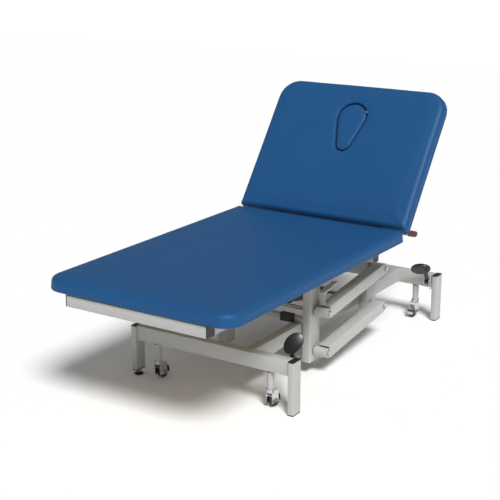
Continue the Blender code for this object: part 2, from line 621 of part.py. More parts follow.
carrier_half = frame_half - SIDE_RAIL_WIDTH - GAP
box_tube("carrier_rail", on_top((-carrier_half, FRONT_PIVOT_Y - POST_DEPTH / 2, RAIL_BOTTOM_Z)),
         on_top((carrier_half, FRONT_PIVOT_Y + POST_DEPTH / 2, rail_top)), "X", FRAME_PAINT, top_axis)
post_tube_half = HANG_POST_INNER - GAP
post_tube_low = LEG_HEIGHT + POST_TUBE_CLEARANCE
post_tube_y = FRONT_PIVOT_Y - POST_TUBE_FORWARD
box_tube("post_cross_tube", on_top((-post_tube_half, post_tube_y - POST_TUBE_SIZE / 2, post_tube_low)),
         on_top((post_tube_half, post_tube_y + POST_TUBE_SIZE / 2, post_tube_low + POST_TUBE_SIZE)), "X",
         FRAME_PAINT, top_axis)
rear_tube_high = HINGE_Y - REAR_TUBE_SETBACK
rear_tube_top = RAIL_BOTTOM_Z - GAP
rear_tube = box_tube("seat_rear_rail",
                     on_top((-frame_half, rear_tube_high - REAR_TUBE_SIZE, rear_tube_top - REAR_TUBE_SIZE)),
                     on_top((frame_half, rear_tube_high, rear_tube_top)), "X", FRAME_PAINT, top_axis)
STRUT_FOOT = Vector((STRUT_X, HINGE_Y + STRUT_FOOT_BEHIND, HINGE_Z - STRUT_FOOT_BELOW))
for sign in (-1, 1):
    plate_x = STRUT_X + sign * STRUT_LUG_GAP
    plate_half = STRUT_LUG_THICKNESS / 2
    plate_low = Vector((plate_x - plate_half, rear_tube_high - TUBE_WALL / 2,
                        STRUT_FOOT.z - STRUT_LUG_REACH))
    plate_high = Vector((plate_x + plate_half, STRUT_FOOT.y + STRUT_LUG_REACH,
                         STRUT_FOOT.z + STRUT_LUG_REACH))
    weld(rear_tube, box(on_top(plate_low), on_top(plate_high)))
strut_pin = rod("X", STRUT_X - STRUT_LUG_GAP, STRUT_X + STRUT_LUG_GAP, on_top(STRUT_FOOT).yz,
                STRUT_PIN_RADIUS, 16)
weld(rear_tube, strut_pin)


# --- Cushions, each on its board ---
def pad_shape(low, high, near_corner, far_corner):
    """A padded block: rounded in plan, softly rounded above, nearly square below."""
    shape = box(low, high)
    for y_end, radius in ((low[1], near_corner), (high[1], far_corner)):
        corners = [edge for edge in edges_along(shape, "Z") if abs(edge.verts[0].co.y - y_end) < 1e-6]
        round_edges(shape, corners, radius, 6)
    round_edges(shape, edges_at(shape, "Z", high[2]), PAD_TOP_ROUND, 3)
    round_edges(shape, edges_at(shape, "Z", low[2]), PAD_BOTTOM_ROUND, 1)
    return shape


def teardrop(grow, low, high, steps=14):
    """The face hole's outline: a wide and a narrow arc with tangents between, as a solid."""
    wide = PLUG_WIDE_RADIUS + grow
    narrow = PLUG_NARROW_RADIUS + grow
    spacing = PLUG_LENGTH - PLUG_WIDE_RADIUS - PLUG_NARROW_RADIUS
    lean = math.asin((wide - narrow) / spacing)
    outline = []
    for step in range(steps + 1):
        turn = -lean + (math.pi + 2 * lean) * step / steps
        outline.append((wide * math.cos(turn), PLUG_WIDE_FROM_HINGE + wide * math.sin(turn)))
    for step in range(steps + 1):
        turn = math.pi + lean + (math.pi - 2 * lean) * step / steps
        outline.append((narrow * math.cos(turn), PLUG_WIDE_FROM_HINGE - spacing + narrow * math.sin(turn)))
    shape = bmesh.new()
    face = shape.faces.new([shape.verts.new((x, y, low)) for x, y in outline])
    grown = bmesh.ops.extrude_face_region(shape, geom=[face])
    moved = [item for item in grown["geom"] if isinstance(item, bmesh.types.BMVert)]
    bmesh.ops.translate(shape, verts=moved, vec=(0.0, 0.0, high - low))
    return shape


def pad_on_board(prefix, low, high, near_corner, far_corner, parent, face_hole=False):
    """A cushion with its board let into its underside."""
    cushion = piece(f"{prefix}_cushion", pad_shape(low, high, near_corner, far_corner), BLUE_VINYL, parent)
    if face_hole:
        cut(cushion, teardrop(PLUG_CLEARANCE, BACK_UNDER - CUT_REACH, BACK_FACE + CUT_REACH))
    inset = Vector((BOARD_INSET, BOARD_INSET, 0.0))
    lower = Vector(low) + inset
    upper = Vector((high[0], high[1], low[2] + BOARD_THICKNESS)) - inset
    board = piece(f"{prefix}_board", box(lower, upper), PLYWOOD, parent)
    room = Vector((GAP, GAP, CUT_REACH))
    cut(cushion, box(lower - room, upper + Vector((GAP, GAP, GAP))))
    if face_hole:
        cut(board, teardrop(PLUG_CLEARANCE, BACK_UNDER - CUT_REACH, BACK_FACE + CUT_REACH))


half_width = TOP_WIDTH / 2
pad_on_board("seat", on_top((-half_width, FOOT_Y, PAD_BOTTOM_Z)),
             on_top((half_width, HINGE_Y - HINGE_GAP, PAD_TOP_Z)), FOOT_CORNER, HINGE_CORNER, top_axis)

HINGE_POINT = Vector((0.0, HINGE_Y, HINGE_Z))
back_axis = axis_empty("backrest_axis", HINGE_POINT, BACK_ANGLE)
pad_on_board("back", (-half_width, HINGE_GAP, BACK_UNDER), (half_width, BACK_END, BACK_FACE),
             HINGE_CORNER, HEAD_CORNER, back_axis, face_hole=True)


plug_axis = axis_empty("face_plug_axis", (0.0, PLUG_WIDE_FROM_HINGE, 0.0))
plug_axis.parent = back_axis
plug = teardrop(0.0, BACK_UNDER, BACK_FACE)
bmesh.ops.translate(plug, verts=plug.verts, vec=(0.0, -PLUG_WIDE_FROM_HINGE, 0.0))
round_edges(plug, edges_at(plug, "Z", BACK_FACE), PLUG_ROUND, 2)
piece("face_plug", plug, BLUE_VINYL, plug_axis)

rail_under = BACK_UNDER - GAP - BACK_RAIL_HEIGHT
for rail_name, sign in side_pair("back_rail"):
    x_low, x_high = spans(sign, frame_half - SIDE_RAIL_WIDTH, frame_half)
    rail = box_tube(rail_name, (x_low, BACK_RAIL_START, rail_under),
                    (x_high, BACK_RAIL_START + BACK_RAIL_LENGTH, BACK_UNDER - GAP), "Y", FRAME_PAINT,
                    back_axis, wall=BACK_RAIL_WALL)
    lug_outer = frame_half - LUG_THICKNESS - LUG_SIDE_GAP
    lug_x = spans(sign, lug_outer - LUG_THICKNESS, lug_outer)
    weld(rail, box((lug_x[0], -LUG_RADIUS, rail_under + RAIL_LUG_STEP),
                   (lug_x[1], BACK_RAIL_START + BACK_LUG_ROOT, BACK_UNDER - GAP - RAIL_LUG_STEP)))
    weld(rail, box((lug_x[0], -LUG_RADIUS, rail_under + LUG_PIN_RADIUS), (lug_x[1], LUG_RADIUS, 0.0)))
    weld(rail, rod("X", lug_x[0], lug_x[1], (0.0, 0.0), LUG_RADIUS))
    pin_hole = LUG_PIN_RADIUS + RUN_CLEARANCE
    cut(rail, rod("X", lug_x[0] - LUG_EDGE, lug_x[1] + LUG_EDGE, (0.0, 0.0), pin_hole, 16))

# --- Locking gas spring that holds the backrest, and its release lever ---
head_y = HINGE_Y + STRUT_HEAD_ALONG * math.cos(BACK_ANGLE) + STRUT_HEAD_BELOW * math.sin(BACK_ANGLE)
head_z = HINGE_Z + STRUT_HEAD_ALONG * math.sin(BACK_ANGLE) - STRUT_HEAD_BELOW * math.cos(BACK_ANGLE)
STRUT_LENGTH = math.hypot(head_y - STRUT_FOOT.y, head_z - STRUT_FOOT.z)
STRUT_ANGLE = math.atan2(head_z - STRUT_FOOT.z, head_y - STRUT_FOOT.y)
strut_axis = axis_empty("gas_spring_axis", STRUT_FOOT, STRUT_ANGLE)
tube = rod("Y", STRUT_PIN_RADIUS + STRUT_EYE_HALF_HEIGHT, STRUT_TUBE_LENGTH, (0.0, 0.0), STRUT_TUBE_RADIUS)
cylinder = piece("gas_spring_cylinder", tube, BLACK_PLASTIC, strut_axis)
weld(cylinder, box((-STRUT_EYE_HALF_WIDTH, -STRUT_EYE_HALF_HEIGHT, -STRUT_EYE_HALF_HEIGHT),
                   (STRUT_EYE_HALF_WIDTH, STRUT_EYE_END, STRUT_EYE_HALF_HEIGHT)))
cut(cylinder, rod("X", -STRUT_LUG_GAP, STRUT_LUG_GAP, (0.0, 0.0), STRUT_PIN_RADIUS + RUN_CLEARANCE, 16))
cut(cylinder, rod("Y", STRUT_BORE_START, STRUT_TUBE_LENGTH + CUT_REACH, (0.0, 0.0),
                  STRUT_ROD_RADIUS + RUN_CLEARANCE, 20))
head_high = STRUT_LENGTH - STRUT_HEAD_SETBACK
head_low = head_high - STRUT_HEAD_LENGTH
shank = rod("Y", STRUT_ROD_START, (head_low + head_high) / 2, (0.0, 0.0), STRUT_ROD_RADIUS, 20)
gas_rod = piece("gas_spring_rod", shank, CHROME, strut_axis)
head_half = STRUT_HEAD_HALF_WIDTH
weld(gas_rod, box((-head_half, head_low, -head_half), (head_half, head_high, head_half)))

lever_below = LEVER_HUB_RADIUS + LEVER_HUB_CLEARANCE
lever_point = Vector((frame_half - SIDE_RAIL_WIDTH / 2, LEVER_ALONG, rail_under - lever_below))
lever_axis = axis_empty("release_lever_axis", lever_point)
lever_axis.parent = back_axis
hub = rod("Y", -LEVER_HUB_LENGTH / 2, LEVER_HUB_LENGTH / 2, (0.0, 0.0), LEVER_HUB_RADIUS, 20)
release_lever = piece("release_lever", hub, FRAME_PAINT, lever_axis)
blade = box((0.0, -LEVER_WIDTH / 2, -LEVER_THICKNESS / 2),
            (LEVER_LENGTH, LEVER_WIDTH / 2, LEVER_THICKNESS / 2))
blade_tip = [edge for edge in edges_along(blade, "Z") if edge.verts[0].co.x > LEVER_LENGTH / 2]
round_edges(blade, blade_tip, LEVER_WIDTH / 2 - LEVER_HUB_CLEARANCE, 4)
weld(release_lever, blade)


# --- Castors: a carrier in each cross beam, two posts, swivelling forks and wheels ---
def make_castors(end_name, end):
    centre = BASE_Y + end * BEAM_Y
    bar_low = BEAM_BOTTOM_Z + TUBE_WALL + CARRIER_LIFT
    lift_axis = axis_empty(f"{end_name}_castor_axis", (0.0, centre, bar_low))
    half = CASTOR_X + CASTOR_POST_RADIUS + CARRIER_END
    bar_depth = CROSS_BEAM_DEPTH / 2 - TUBE_WALL - RUN_CLEARANCE
    bar = box((-half, -bar_depth, 0.0), (half, bar_depth, CARRIER_HEIGHT))
    carrier = piece(f"{end_name}_castor_carrier", bar, FRAME_PAINT, lift_axis)
    post_low = CASTOR_POST_BOTTOM - bar_low
    for side_name, side in (("left", -1), ("right", 1)):
        post_x = side * CASTOR_X
        weld(carrier, rod("Z", post_low, CARRIER_HEIGHT / 2, (post_x, 0.0), CASTOR_POST_RADIUS))
        swivel = axis_empty(f"castor_swivel_{end_name}_{side_name}", (post_x, 0.0, post_low))
        swivel.parent = lift_axis
        make_fork(f"{end_name}_{side_name}", swivel, -end)


def make_fork(place_name, swivel, trail_sign):
    wheel_y = trail_sign * CASTOR_TRAIL
    wheel_z = WHEEL_Z - CASTOR_POST_BOTTOM
    crown = rod("Z", -CROWN_HEIGHT, -GAP, (0.0, 0.0), CROWN_RADIUS, 24)
    fork = piece(f"castor_fork_{place_name}", crown, CHROME, swivel)
    inner = WHEEL_WIDTH / 2 + CHEEK_CLEARANCE
    y_range = sorted((-trail_sign * CHEEK_END, wheel_y + trail_sign * CHEEK_END))
    for side in (-1, 1):
        x_low, x_high = spans(side, inner, inner + FORK_CHEEK)
        cheek = box((x_low, y_range[0], wheel_z - CHEEK_BELOW_AXLE), (x_high, y_range[1], -CHEEK_TOP))
        tail = [edge for edge in edges_along(cheek, "X") if edge.verts[0].co.z < wheel_z]
        round_edges(cheek, tail, CHEEK_TAIL_RADIUS, 3)
        weld(fork, cheek)
    axle_half = inner + FORK_CHEEK / 2
    weld(fork, rod("X", -axle_half, axle_half, (wheel_y, wheel_z), AXLE_RADIUS, 16))
    wheel_axis = axis_empty(f"castor_wheel_axis_{place_name}", (0.0, wheel_y, wheel_z))
    wheel_axis.parent = swivel
    tread = rod("X", -WHEEL_WIDTH / 2, WHEEL_WIDTH / 2, (0.0, 0.0), WHEEL_RADIUS, 36)
    rims = edges_at(tread, "X", -WHEEL_WIDTH / 2) + edges_at(tread, "X", WHEEL_WIDTH / 2)
    round_edges(tread, rims, TREAD_ROUND)
    wheel = piece(f"castor_wheel_{place_name}", tread, TYRE_BLACK, wheel_axis)
    cut(wheel, rod("X", -WHEEL_WIDTH, WHEEL_WIDTH, (0.0, 0.0), AXLE_RADIUS + RUN_CLEARANCE, 16))


make_castors("front", -1)
make_castors("rear", 1)


# --- Foot pedals that lower the castors ---
def make_pedal(name, pivot_y, pad_place, facing, long_axis):
    """An oval pad on a flat arm, on a hub between the beam's two lugs."""
    pedal_axis = axis_empty(f"{name}_axis", (PEDAL_X, pivot_y, PEDAL_HUB_Z))
    half = PEDAL_HUB_LENGTH / 2
    pedal = piece(name, rod("X", -half, half, (0.0, 0.0), PEDAL_HUB_RADIUS), BLACK_PLASTIC, pedal_axis)
    weld(pedal, rod("X", -half - PEDAL_PIN_END, half + PEDAL_PIN_END, (0.0, 0.0), PEDAL_PIN_RADIUS, 16))
    centre = Vector(pad_place) - Vector((PEDAL_X, pivot_y, PEDAL_HUB_Z))
    normal = Vector(facing).normalized()
    along = Vector(long_axis)
    along = (along - normal * along.dot(normal)).normalized()
    across = normal.cross(along)
    turn = Matrix((along, across, normal)).transposed().to_4x4()
    pad = rod("Z", -PEDAL_THICKNESS / 2, PEDAL_THICKNESS / 2, (0.0, 0.0), 1.0, 36)
    for vertex in pad.verts:
        vertex.co.x *= PEDAL_LONG
        vertex.co.y *= PEDAL_SHORT
    rims = edges_at(pad, "Z", PEDAL_THICKNESS / 2) + edges_at(pad, "Z", -PEDAL_THICKNESS / 2)
    round_edges(pad, rims, PEDAL_RIM_ROUND)
    bmesh.ops.transform(pad, matrix=Matrix.Translation(centre) @ turn, verts=pad.verts)
    weld(pedal, pad)
    reach = centre.length
    lean = math.atan2(-centre.y, centre.z)
    arm = box((-PEDAL_ARM_WIDTH / 2, -PEDAL_ARM_THICKNESS / 2, 0.0),
              (PEDAL_ARM_WIDTH / 2, PEDAL_ARM_THICKNESS / 2, reach))
    bmesh.ops.transform(arm, matrix=Matrix.Rotation(lean, 4, "X"), verts=arm.verts)
    weld(pedal, arm)


make_pedal("front_pedal", FRONT_PEDAL_Y, (PEDAL_X, BASE_Y + FRONT_PAD_OFFSET, FRONT_PAD_Z),
           (0.35, -0.82, 0.45), (0.40, 0.50, 0.75))
make_pedal("rear_pedal", REAR_PEDAL_Y, (PEDAL_X - REAR_PAD_INWARD, BASE_Y + REAR_PAD_OFFSET, REAR_PAD_Z),
           (-0.25, 0.80, 0.55), (0.95, 0.0, 0.12))
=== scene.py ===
"""Two-section treatment table on a parallel-arm lifting base: the finished look of every piece.

X runs across the table, +Y from the foot end to the head end, +Z is up. All sizes are in metres.
"""
import json
import math

import bmesh
import bpy
import numpy as np
from mathutils import Matrix, Vector

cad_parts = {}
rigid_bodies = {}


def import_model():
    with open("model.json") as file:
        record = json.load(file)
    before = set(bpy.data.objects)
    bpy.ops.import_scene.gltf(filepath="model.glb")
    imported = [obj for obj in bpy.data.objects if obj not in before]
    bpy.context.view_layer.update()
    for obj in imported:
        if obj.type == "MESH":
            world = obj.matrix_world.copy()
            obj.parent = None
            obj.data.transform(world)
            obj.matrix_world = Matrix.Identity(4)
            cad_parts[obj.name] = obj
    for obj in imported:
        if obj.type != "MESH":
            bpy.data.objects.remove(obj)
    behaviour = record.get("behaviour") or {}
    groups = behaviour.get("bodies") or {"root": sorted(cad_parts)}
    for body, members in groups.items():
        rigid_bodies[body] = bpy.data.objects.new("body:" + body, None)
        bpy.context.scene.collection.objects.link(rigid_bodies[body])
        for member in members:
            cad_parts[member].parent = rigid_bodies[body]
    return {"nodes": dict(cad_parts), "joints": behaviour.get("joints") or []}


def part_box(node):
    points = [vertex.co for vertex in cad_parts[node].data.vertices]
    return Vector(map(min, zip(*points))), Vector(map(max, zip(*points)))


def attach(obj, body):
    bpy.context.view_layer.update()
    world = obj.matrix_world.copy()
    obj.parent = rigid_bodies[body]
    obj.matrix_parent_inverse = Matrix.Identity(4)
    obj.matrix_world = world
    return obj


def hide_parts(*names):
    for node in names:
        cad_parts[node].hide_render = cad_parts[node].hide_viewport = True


for old in list(bpy.data.objects):
    bpy.data.objects.remove(old, do_unlink=True)
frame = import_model()
nodes = frame["nodes"]
joints = {joint["name"]: joint for joint in frame["joints"]}
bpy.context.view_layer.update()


# --- Frame tubes ---
# Rectangular steel tube, sawn, welded and powder coated in one light grey. The baked powder gives a
# satin skin with a faint orange peel, and the sawn ends are deburred before coating.
def linear(code):
    """An sRGB hex colour as linear light."""
    shares = [int(code[start:start + 2], 16) / 255 for start in (1, 3, 5)]
    return (*[s / 12.92 if s <= 0.04045 else ((s + 0.055) / 1.055) ** 2.4 for s in shares], 1.0)


def add(tree, kind, settings=None, values=None, links=None):
    """One node with its settings, its socket values and its incoming links."""
    node = tree.nodes.new(kind)
    for name, value in (settings or {}).items():
        setattr(node, name, value)
    for socket, value in (values or {}).items():
        node.inputs[socket].default_value = value
    for socket, source in (links or {}).items():
        tree.links.new(source, node.inputs[socket])
    return node


def start_material(name, slot, constants):
    """A material for one of the record's slots, with the values that are the same all over it."""
    material = bpy.data.materials.new(name)
    material.use_nodes = True
    material["slot"] = slot
    tree = material.node_tree
    shader = tree.nodes["Principled BSDF"]
    for socket, value in constants.items():
        shader.inputs[socket].default_value = value
    place = add(tree, "ShaderNodeTexCoord").outputs["Object"]
    return material, tree, shader, place


def drifting_colour(tree, shader, place, light, dark, patch):
    """A slow drift between two shades, in patches of a real size."""
    cloud = add(tree, "ShaderNodeTexNoise", values={"Scale": 1 / patch, "Detail": 3.0},
                links={"Vector": place})
    mix = add(tree, "ShaderNodeMix", {"data_type": "RGBA"}, {6: linear(light), 7: linear(dark)},
              {0: cloud.outputs["Fac"]})
    tree.links.new(mix.outputs[2], shader.inputs["Base Color"])


def grainy_skin(tree, shader, place, grain, height, smooth, rough):
    """Fine relief of a real grain size, with a roughness that varies with it."""
    grit = add(tree, "ShaderNodeTexNoise", values={"Scale": 1 / grain, "Detail": 2.0},
               links={"Vector": place})
    bump = add(tree, "ShaderNodeBump", values={"Strength": 0.5, "Distance": height},
               links={"Height": grit.outputs["Fac"]})
    tree.links.new(bump.outputs["Normal"], shader.inputs["Normal"])
    sheen = add(tree, "ShaderNodeMapRange", values={"To Min": smooth, "To Max": rough},
                links={"Value": grit.outputs["Fac"]})
    tree.links.new(sheen.outputs["Result"], shader.inputs["Roughness"])


# Orange peel is about 1.5 mm across; it is drawn at 3 mm so that it shows.
powder_coat, tree, shader, place = start_material("powder_coated_steel", "frame_paint", {"IOR": 1.5})
drifting_colour(tree, shader, place, "#B9BAB8", "#AFB0AE", 0.25)
grainy_skin(tree, shader, place, 0.003, 0.00025, 0.36, 0.48)

SHARP_EDGE = math.radians(35)
DEBURR = 0.0006
WELD_DISTANCE = 1e-5

smooth_faces = bpy.data.node_groups.new("faces_smooth_up_to_edges", "GeometryNodeTree")
for way in ("INPUT", "OUTPUT"):
    smooth_faces.interface.new_socket("Geometry", in_out=way, socket_type="NodeSocketGeometry")
source = add(smooth_faces, "NodeGroupInput")
joined = add(smooth_faces, "GeometryNodeMergeByDistance", values={"Distance": WELD_DISTANCE},
             links={"Geometry": source.outputs[0]})
turn = add(smooth_faces, "GeometryNodeInputMeshEdgeAngle")
is_edge = add(smooth_faces, "ShaderNodeMath", {"operation": "GREATER_THAN"}, {1: SHARP_EDGE},
              {0: turn.outputs["Unsigned Angle"]})
normals = add(smooth_faces, "GeometryNodeSetMeshNormal", {"mode": "SHARPNESS"}, {"Remove Custom": True},
              {"Mesh": joined.outputs[0], "Edge Sharpness": is_edge.outputs[0]})
add(smooth_faces, "NodeGroupOutput", links={0: normals.outputs[0]})


def soften(item, radius=DEBURR):
    """Smooth the faces up to their edges, and break the edges themselves."""
    skin = item.modifiers.new("Skin", "NODES")
    skin.node_group = smooth_faces
    edge = item.modifiers.new("Deburr", "BEVEL")
    edge.width = radius
    edge.segments = 2
    edge.limit_method = "ANGLE"
    edge.angle_limit = SHARP_EDGE
    edge.harden_normals = True


def dress(material, *names, radius=DEBURR):
    """Give CAD nodes their finish."""
    for name in names:
        node = nodes[name]
        node.data.materials.clear()
        node.data.materials.append(material)
        soften(node, radius)


SIDES = (("left", -1), ("right", 1))
CORNERS = ("front_left", "front_right", "rear_left", "rear_right")
dress(powder_coat, "front_cross_beam", "rear_cross_beam", "foot_rail", "carrier_rail", "post_cross_tube",
      "seat_rear_rail", "front_castor_carrier", "rear_castor_carrier")
dress(powder_coat, *[f"leg_{corner}" for corner in CORNERS])
for side_name, sign in SIDES:
    dress(powder_coat, f"long_beam_{side_name}", f"base_post_{side_name}", f"hang_post_{side_name}",
          f"upper_arm_{side_name}", f"lower_arm_{side_name}", f"side_rail_{side_name}",
          f"back_rail_{side_name}")


# --- Weld beads ---
# Fillet welds run by hand round the tube joints before coating: a low rippled bead, a few millimetres
# wide, in the same powder coat. Each bead is a curve whose thickness pulses once a ripple.
BEAD_RADIUS = 0.0024
RIPPLE = 0.004


def bead_curve(name, paths, body):
    """Weld beads along closed or open runs of points, as one piece."""
    curve = bpy.data.curves.new(name, "CURVE")
    curve.dimensions = "3D"
    curve.bevel_depth = BEAD_RADIUS
    curve.bevel_resolution = 2
    curve.use_fill_caps = True
    for points, closed in paths:
        ends = list(zip(points, points[1:] + points[:1])) if closed else list(zip(points, points[1:]))
        stops = []
        for start, end in ends:
            steps = max(2, round((end - start).length / (RIPPLE / 2)))
            stops.extend(start.lerp(end, step / steps) for step in range(steps))
        if not closed:
            stops.append(points[-1])
        spline = curve.splines.new("POLY")
        spline.points.add(len(stops) - 1)
        spline.use_cyclic_u = closed
        for index, stop in enumerate(stops):
            spline.points[index].co = (*stop, 1.0)
            spline.points[index].radius = 1.12 if index % 2 else 0.88
    item = bpy.data.objects.new(name, curve)
    bpy.context.scene.collection.objects.link(item)
    curve.materials.append(powder_coat)
    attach(item, body)
    return item


def round_tube(low, high, axis, at):
    """The closed run round a tube's outside, in the plane where it meets its neighbour."""
    first, second = [index for index in range(3) if index != axis]
    run = []
    for use_first, use_second in ((0, 0), (1, 0), (1, 1), (0, 1)):
        point = Vector((0.0, 0.0, 0.0))
        point[axis] = at
        point[first] = (low, high)[use_first][first]
        point[second] = (low, high)[use_second][second]
        run.append(point)
    return run, True


def straight(*points):
    """An open run through a few points."""
    return [Vector(point) for point in points], False


beads = []
for side_name, sign in SIDES:
    beam_low, beam_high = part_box(f"long_beam_{side_name}")
    for end_y in (beam_low.y, beam_high.y):
        beads.append(round_tube(beam_low, beam_high, 1, end_y))
    post_low, post_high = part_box(f"base_post_{side_name}")
    face_x = sign * (abs(beam_high.x if sign > 0 else beam_low.x) + BEAD_RADIUS / 4)
    for edge_y in (post_low.y, post_high.y):
        beads.append(straight((face_x, edge_y, post_low.z), (face_x, edge_y, beam_high.z)))
    beads.append(straight((face_x, post_low.y, beam_high.z), (face_x, post_high.y, beam_high.z)))
for end_name in ("front", "rear"):
    beam_low, beam_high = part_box(f"{end_name}_cross_beam")
    leg_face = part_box(f"leg_{end_name}_left")[1].x
    for face_x in (leg_face, -leg_face):
        beads.append(straight((face_x, beam_low.y, beam_low.z), (face_x, beam_high.y, beam_low.z)))
        for edge_y in (beam_low.y, beam_high.y):
            beads.append(straight((face_x, edge_y, beam_low.z), (face_x, edge_y, beam_high.z)))
bead_curve("base_welds", beads, "base")

POST_FACE = 0.220            # a post's box also holds its pins, so its outer face is stated here
REAR_TUBE = 0.040            # the rear rail's box also holds its lugs, so its tube is stated here
beads = []
for side_name, sign in SIDES:
    rail_low, rail_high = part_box(f"side_rail_{side_name}")
    carrier_low, carrier_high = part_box("carrier_rail")
    rail_high.z = carrier_high.z
    beads.append(round_tube(rail_low, rail_high, 1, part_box("foot_rail")[1].y))
    inner_x = min(abs(rail_low.x), abs(rail_high.x)) * sign
    beads.append(round_tube(carrier_low, carrier_high, 0, inner_x))
    post_low, post_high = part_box(f"hang_post_{side_name}")
    post_low.x, post_high.x = (post_low.x, POST_FACE) if sign > 0 else (-POST_FACE, post_high.x)
    beads.append(round_tube(post_low, post_high, 2, post_high.z))
    rear_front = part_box("seat_rear_rail")[0].y
    for edge_y in (rear_front, rear_front + REAR_TUBE):
        beads.append(straight((rail_low.x, edge_y, rail_low.z), (rail_high.x, edge_y, rail_low.z)))
    tube_low, tube_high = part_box("post_cross_tube")
    beads.append(round_tube(tube_low, tube_high, 0, sign * tube_high.x))
bead_curve("top_frame_welds", beads, "top_frame")


# --- Moulded end caps and foot pads ---
# Black glass-filled nylon, injection moulded and pressed into the tube ends. The mould leaves a fine
# matt texture, and a rounded rim shows as a thin light line.
# The mould texture is about 0.5 mm; it is drawn at 1.5 mm so that it shows.
black_nylon, tree, shader, place = start_material("moulded_black_nylon", "black_plastic", {"IOR": 1.53})
drifting_colour(tree, shader, place, "#17181A", "#101112", 0.06)
grainy_skin(tree, shader, place, 0.0015, 0.0002, 0.38, 0.52)
dress(black_nylon, "foot_rail_cap_left", "foot_rail_cap_right", radius=0.0012)
dress(black_nylon, *[f"leg_cap_{corner}" for corner in CORNERS], radius=0.0012)
dress(black_nylon, *[f"foot_pad_{corner}" for corner in CORNERS], radius=0.0010)


def block(low, high):
    """A block between two corners."""
    shape = bmesh.new()
    size = Vector(high) - Vector(low)
    middle = (Vector(high) + Vector(low)) / 2
    whole = Matrix.Translation(middle) @ Matrix.Diagonal((*size, 1.0))
    bmesh.ops.create_cube(shape, size=1.0, matrix=whole)
    return shape


def merge(*shapes):
    """Several shapes as one mesh."""
    whole = bmesh.new()
    for shape in shapes:
        mesh = bpy.data.meshes.new("part")
        shape.to_mesh(mesh)
        shape.free()
        whole.from_mesh(mesh)
        bpy.data.meshes.remove(mesh)
    return whole


def fit(name, shape, body, material, radius=DEBURR, matrix=None):
    """Make a piece from a shape, finish it and fix it to a body."""
    if matrix:
        bmesh.ops.transform(shape, matrix=matrix, verts=shape.verts)
    bmesh.ops.recalc_face_normals(shape, faces=shape.faces)
    mesh = bpy.data.meshes.new(name)
    shape.to_mesh(mesh)
    shape.free()
    item = bpy.data.objects.new(name, mesh)
    bpy.context.scene.collection.objects.link(item)
    mesh.materials.append(material)
    if radius:
        soften(item, radius)
    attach(item, body)
    return item


FIT_GAP = 0.0003             # between pieces that touch
CAP_EDGE = 0.001
CAP_PLATE = 0.003
CAP_SPIGOT = 0.012
CAP_INSET = 0.003


def end_plug(low, high, axis, end):
    """A plate over one open end of a tube that fills a box, with a spigot in its bore."""
    face = (low, high)[end > 0][axis]
    plate = [low.copy(), high.copy()]
    spigot = [low + Vector((CAP_INSET,) * 3), high - Vector((CAP_INSET,) * 3)]
    plate[0][axis], plate[1][axis] = sorted((face + end * FIT_GAP, face + end * CAP_PLATE))
    spigot[0][axis], spigot[1][axis] = sorted((face - end * CAP_SPIGOT, face + end * CAP_PLATE / 2))
    return merge(block(*plate), block(*spigot))


for side_name, sign in SIDES:
    for stem, end, body in (("base_post", 1, "base"), ("hang_post", -1, "top_frame")):
        low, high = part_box(f"{stem}_{side_name}")
        low.x, high.x = (low.x, POST_FACE) if sign > 0 else (-POST_FACE, high.x)
        fit(f"{stem}_{side_name}_cap", end_plug(low, high, 2, end), body, black_nylon, CAP_EDGE)
    low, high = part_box("seat_rear_rail")
    high.y = low.y + REAR_TUBE
    low.z = high.z - REAR_TUBE
    cap = end_plug(low, high, 0, sign)
    fit(f"seat_rear_rail_{side_name}_cap", cap, "top_frame", black_nylon, CAP_EDGE)


# --- Levelling foot ---
# A zinc-plated M10 screw with a moulded black disc, screwed into one foot pad and locked by a thin nut.
# The thread is turned as rings a real pitch apart.
MERGE_DISTANCE = 1e-6


def turned(profile, steps=48, closed=False):
    """A form turned about Z from (radius, height) points. An open profile starts and ends on the axis."""
    shape = bmesh.new()
    points = [shape.verts.new((radius, 0.0, height)) for radius, height in profile]
    following = points[1:] + points[:1] if closed else points[1:]
    edges = [shape.edges.new(pair) for pair in zip(points, following)]
    bmesh.ops.spin(shape, geom=points + edges, cent=(0, 0, 0), axis=(0, 0, 1), dvec=(0, 0, 0),
                   angle=2 * math.pi, steps=steps, use_merge=True)
    bmesh.ops.remove_doubles(shape, verts=shape.verts, dist=MERGE_DISTANCE)
    return shape


def ring(inner, outer, low, high):
    """A flat ring about Z."""
    return turned([(inner, low), (outer, low), (outer, high), (inner, high)], 40, closed=True)


# Bright zinc under a clear passivate: a soft metal grey with a slightly cloudy gloss.
zinc, tree, shader, place = start_material("zinc_plated_steel", "zinc_steel", {"Metallic": 1.0})
drifting_colour(tree, shader, place, "#C4C6C9", "#AEB0B4", 0.012)
grainy_skin(tree, shader, place, 0.0012, 0.00008, 0.24, 0.38)
dress(zinc, "rear_upper_shaft", "front_upper_shaft", "actuator_pivot_bar", "actuator_rod")

low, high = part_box("levelling_foot")
THREAD_RADIUS = 0.0049
THREAD_DEPTH = 0.0007
THREAD_PITCH = 0.0015
DISC_HEIGHT = 0.008
SCREW_IN_DISC = 0.004
NUT_RADIUS = 0.0098
NUT_SPAN = (0.0155, 0.0205)
screw_top = high.z - low.z
rings = int((screw_top - DISC_HEIGHT) / THREAD_PITCH)
profile = [(0.0, screw_top), (THREAD_RADIUS - THREAD_DEPTH, screw_top)]
for turn in range(rings):
    crest = screw_top - (turn + 0.5) * THREAD_PITCH
    profile += [(THREAD_RADIUS, crest), (THREAD_RADIUS - THREAD_DEPTH, crest - THREAD_PITCH / 2)]
screw_end = DISC_HEIGHT - SCREW_IN_DISC
profile += [(THREAD_RADIUS - THREAD_DEPTH, screw_end), (0.0, screw_end)]
foot_place = Matrix.Translation(((low.x + high.x) / 2, (low.y + high.y) / 2, low.z))
foot_screw = fit("levelling_screw", turned(profile, 24), "levelling_foot", zinc, 0, foot_place)
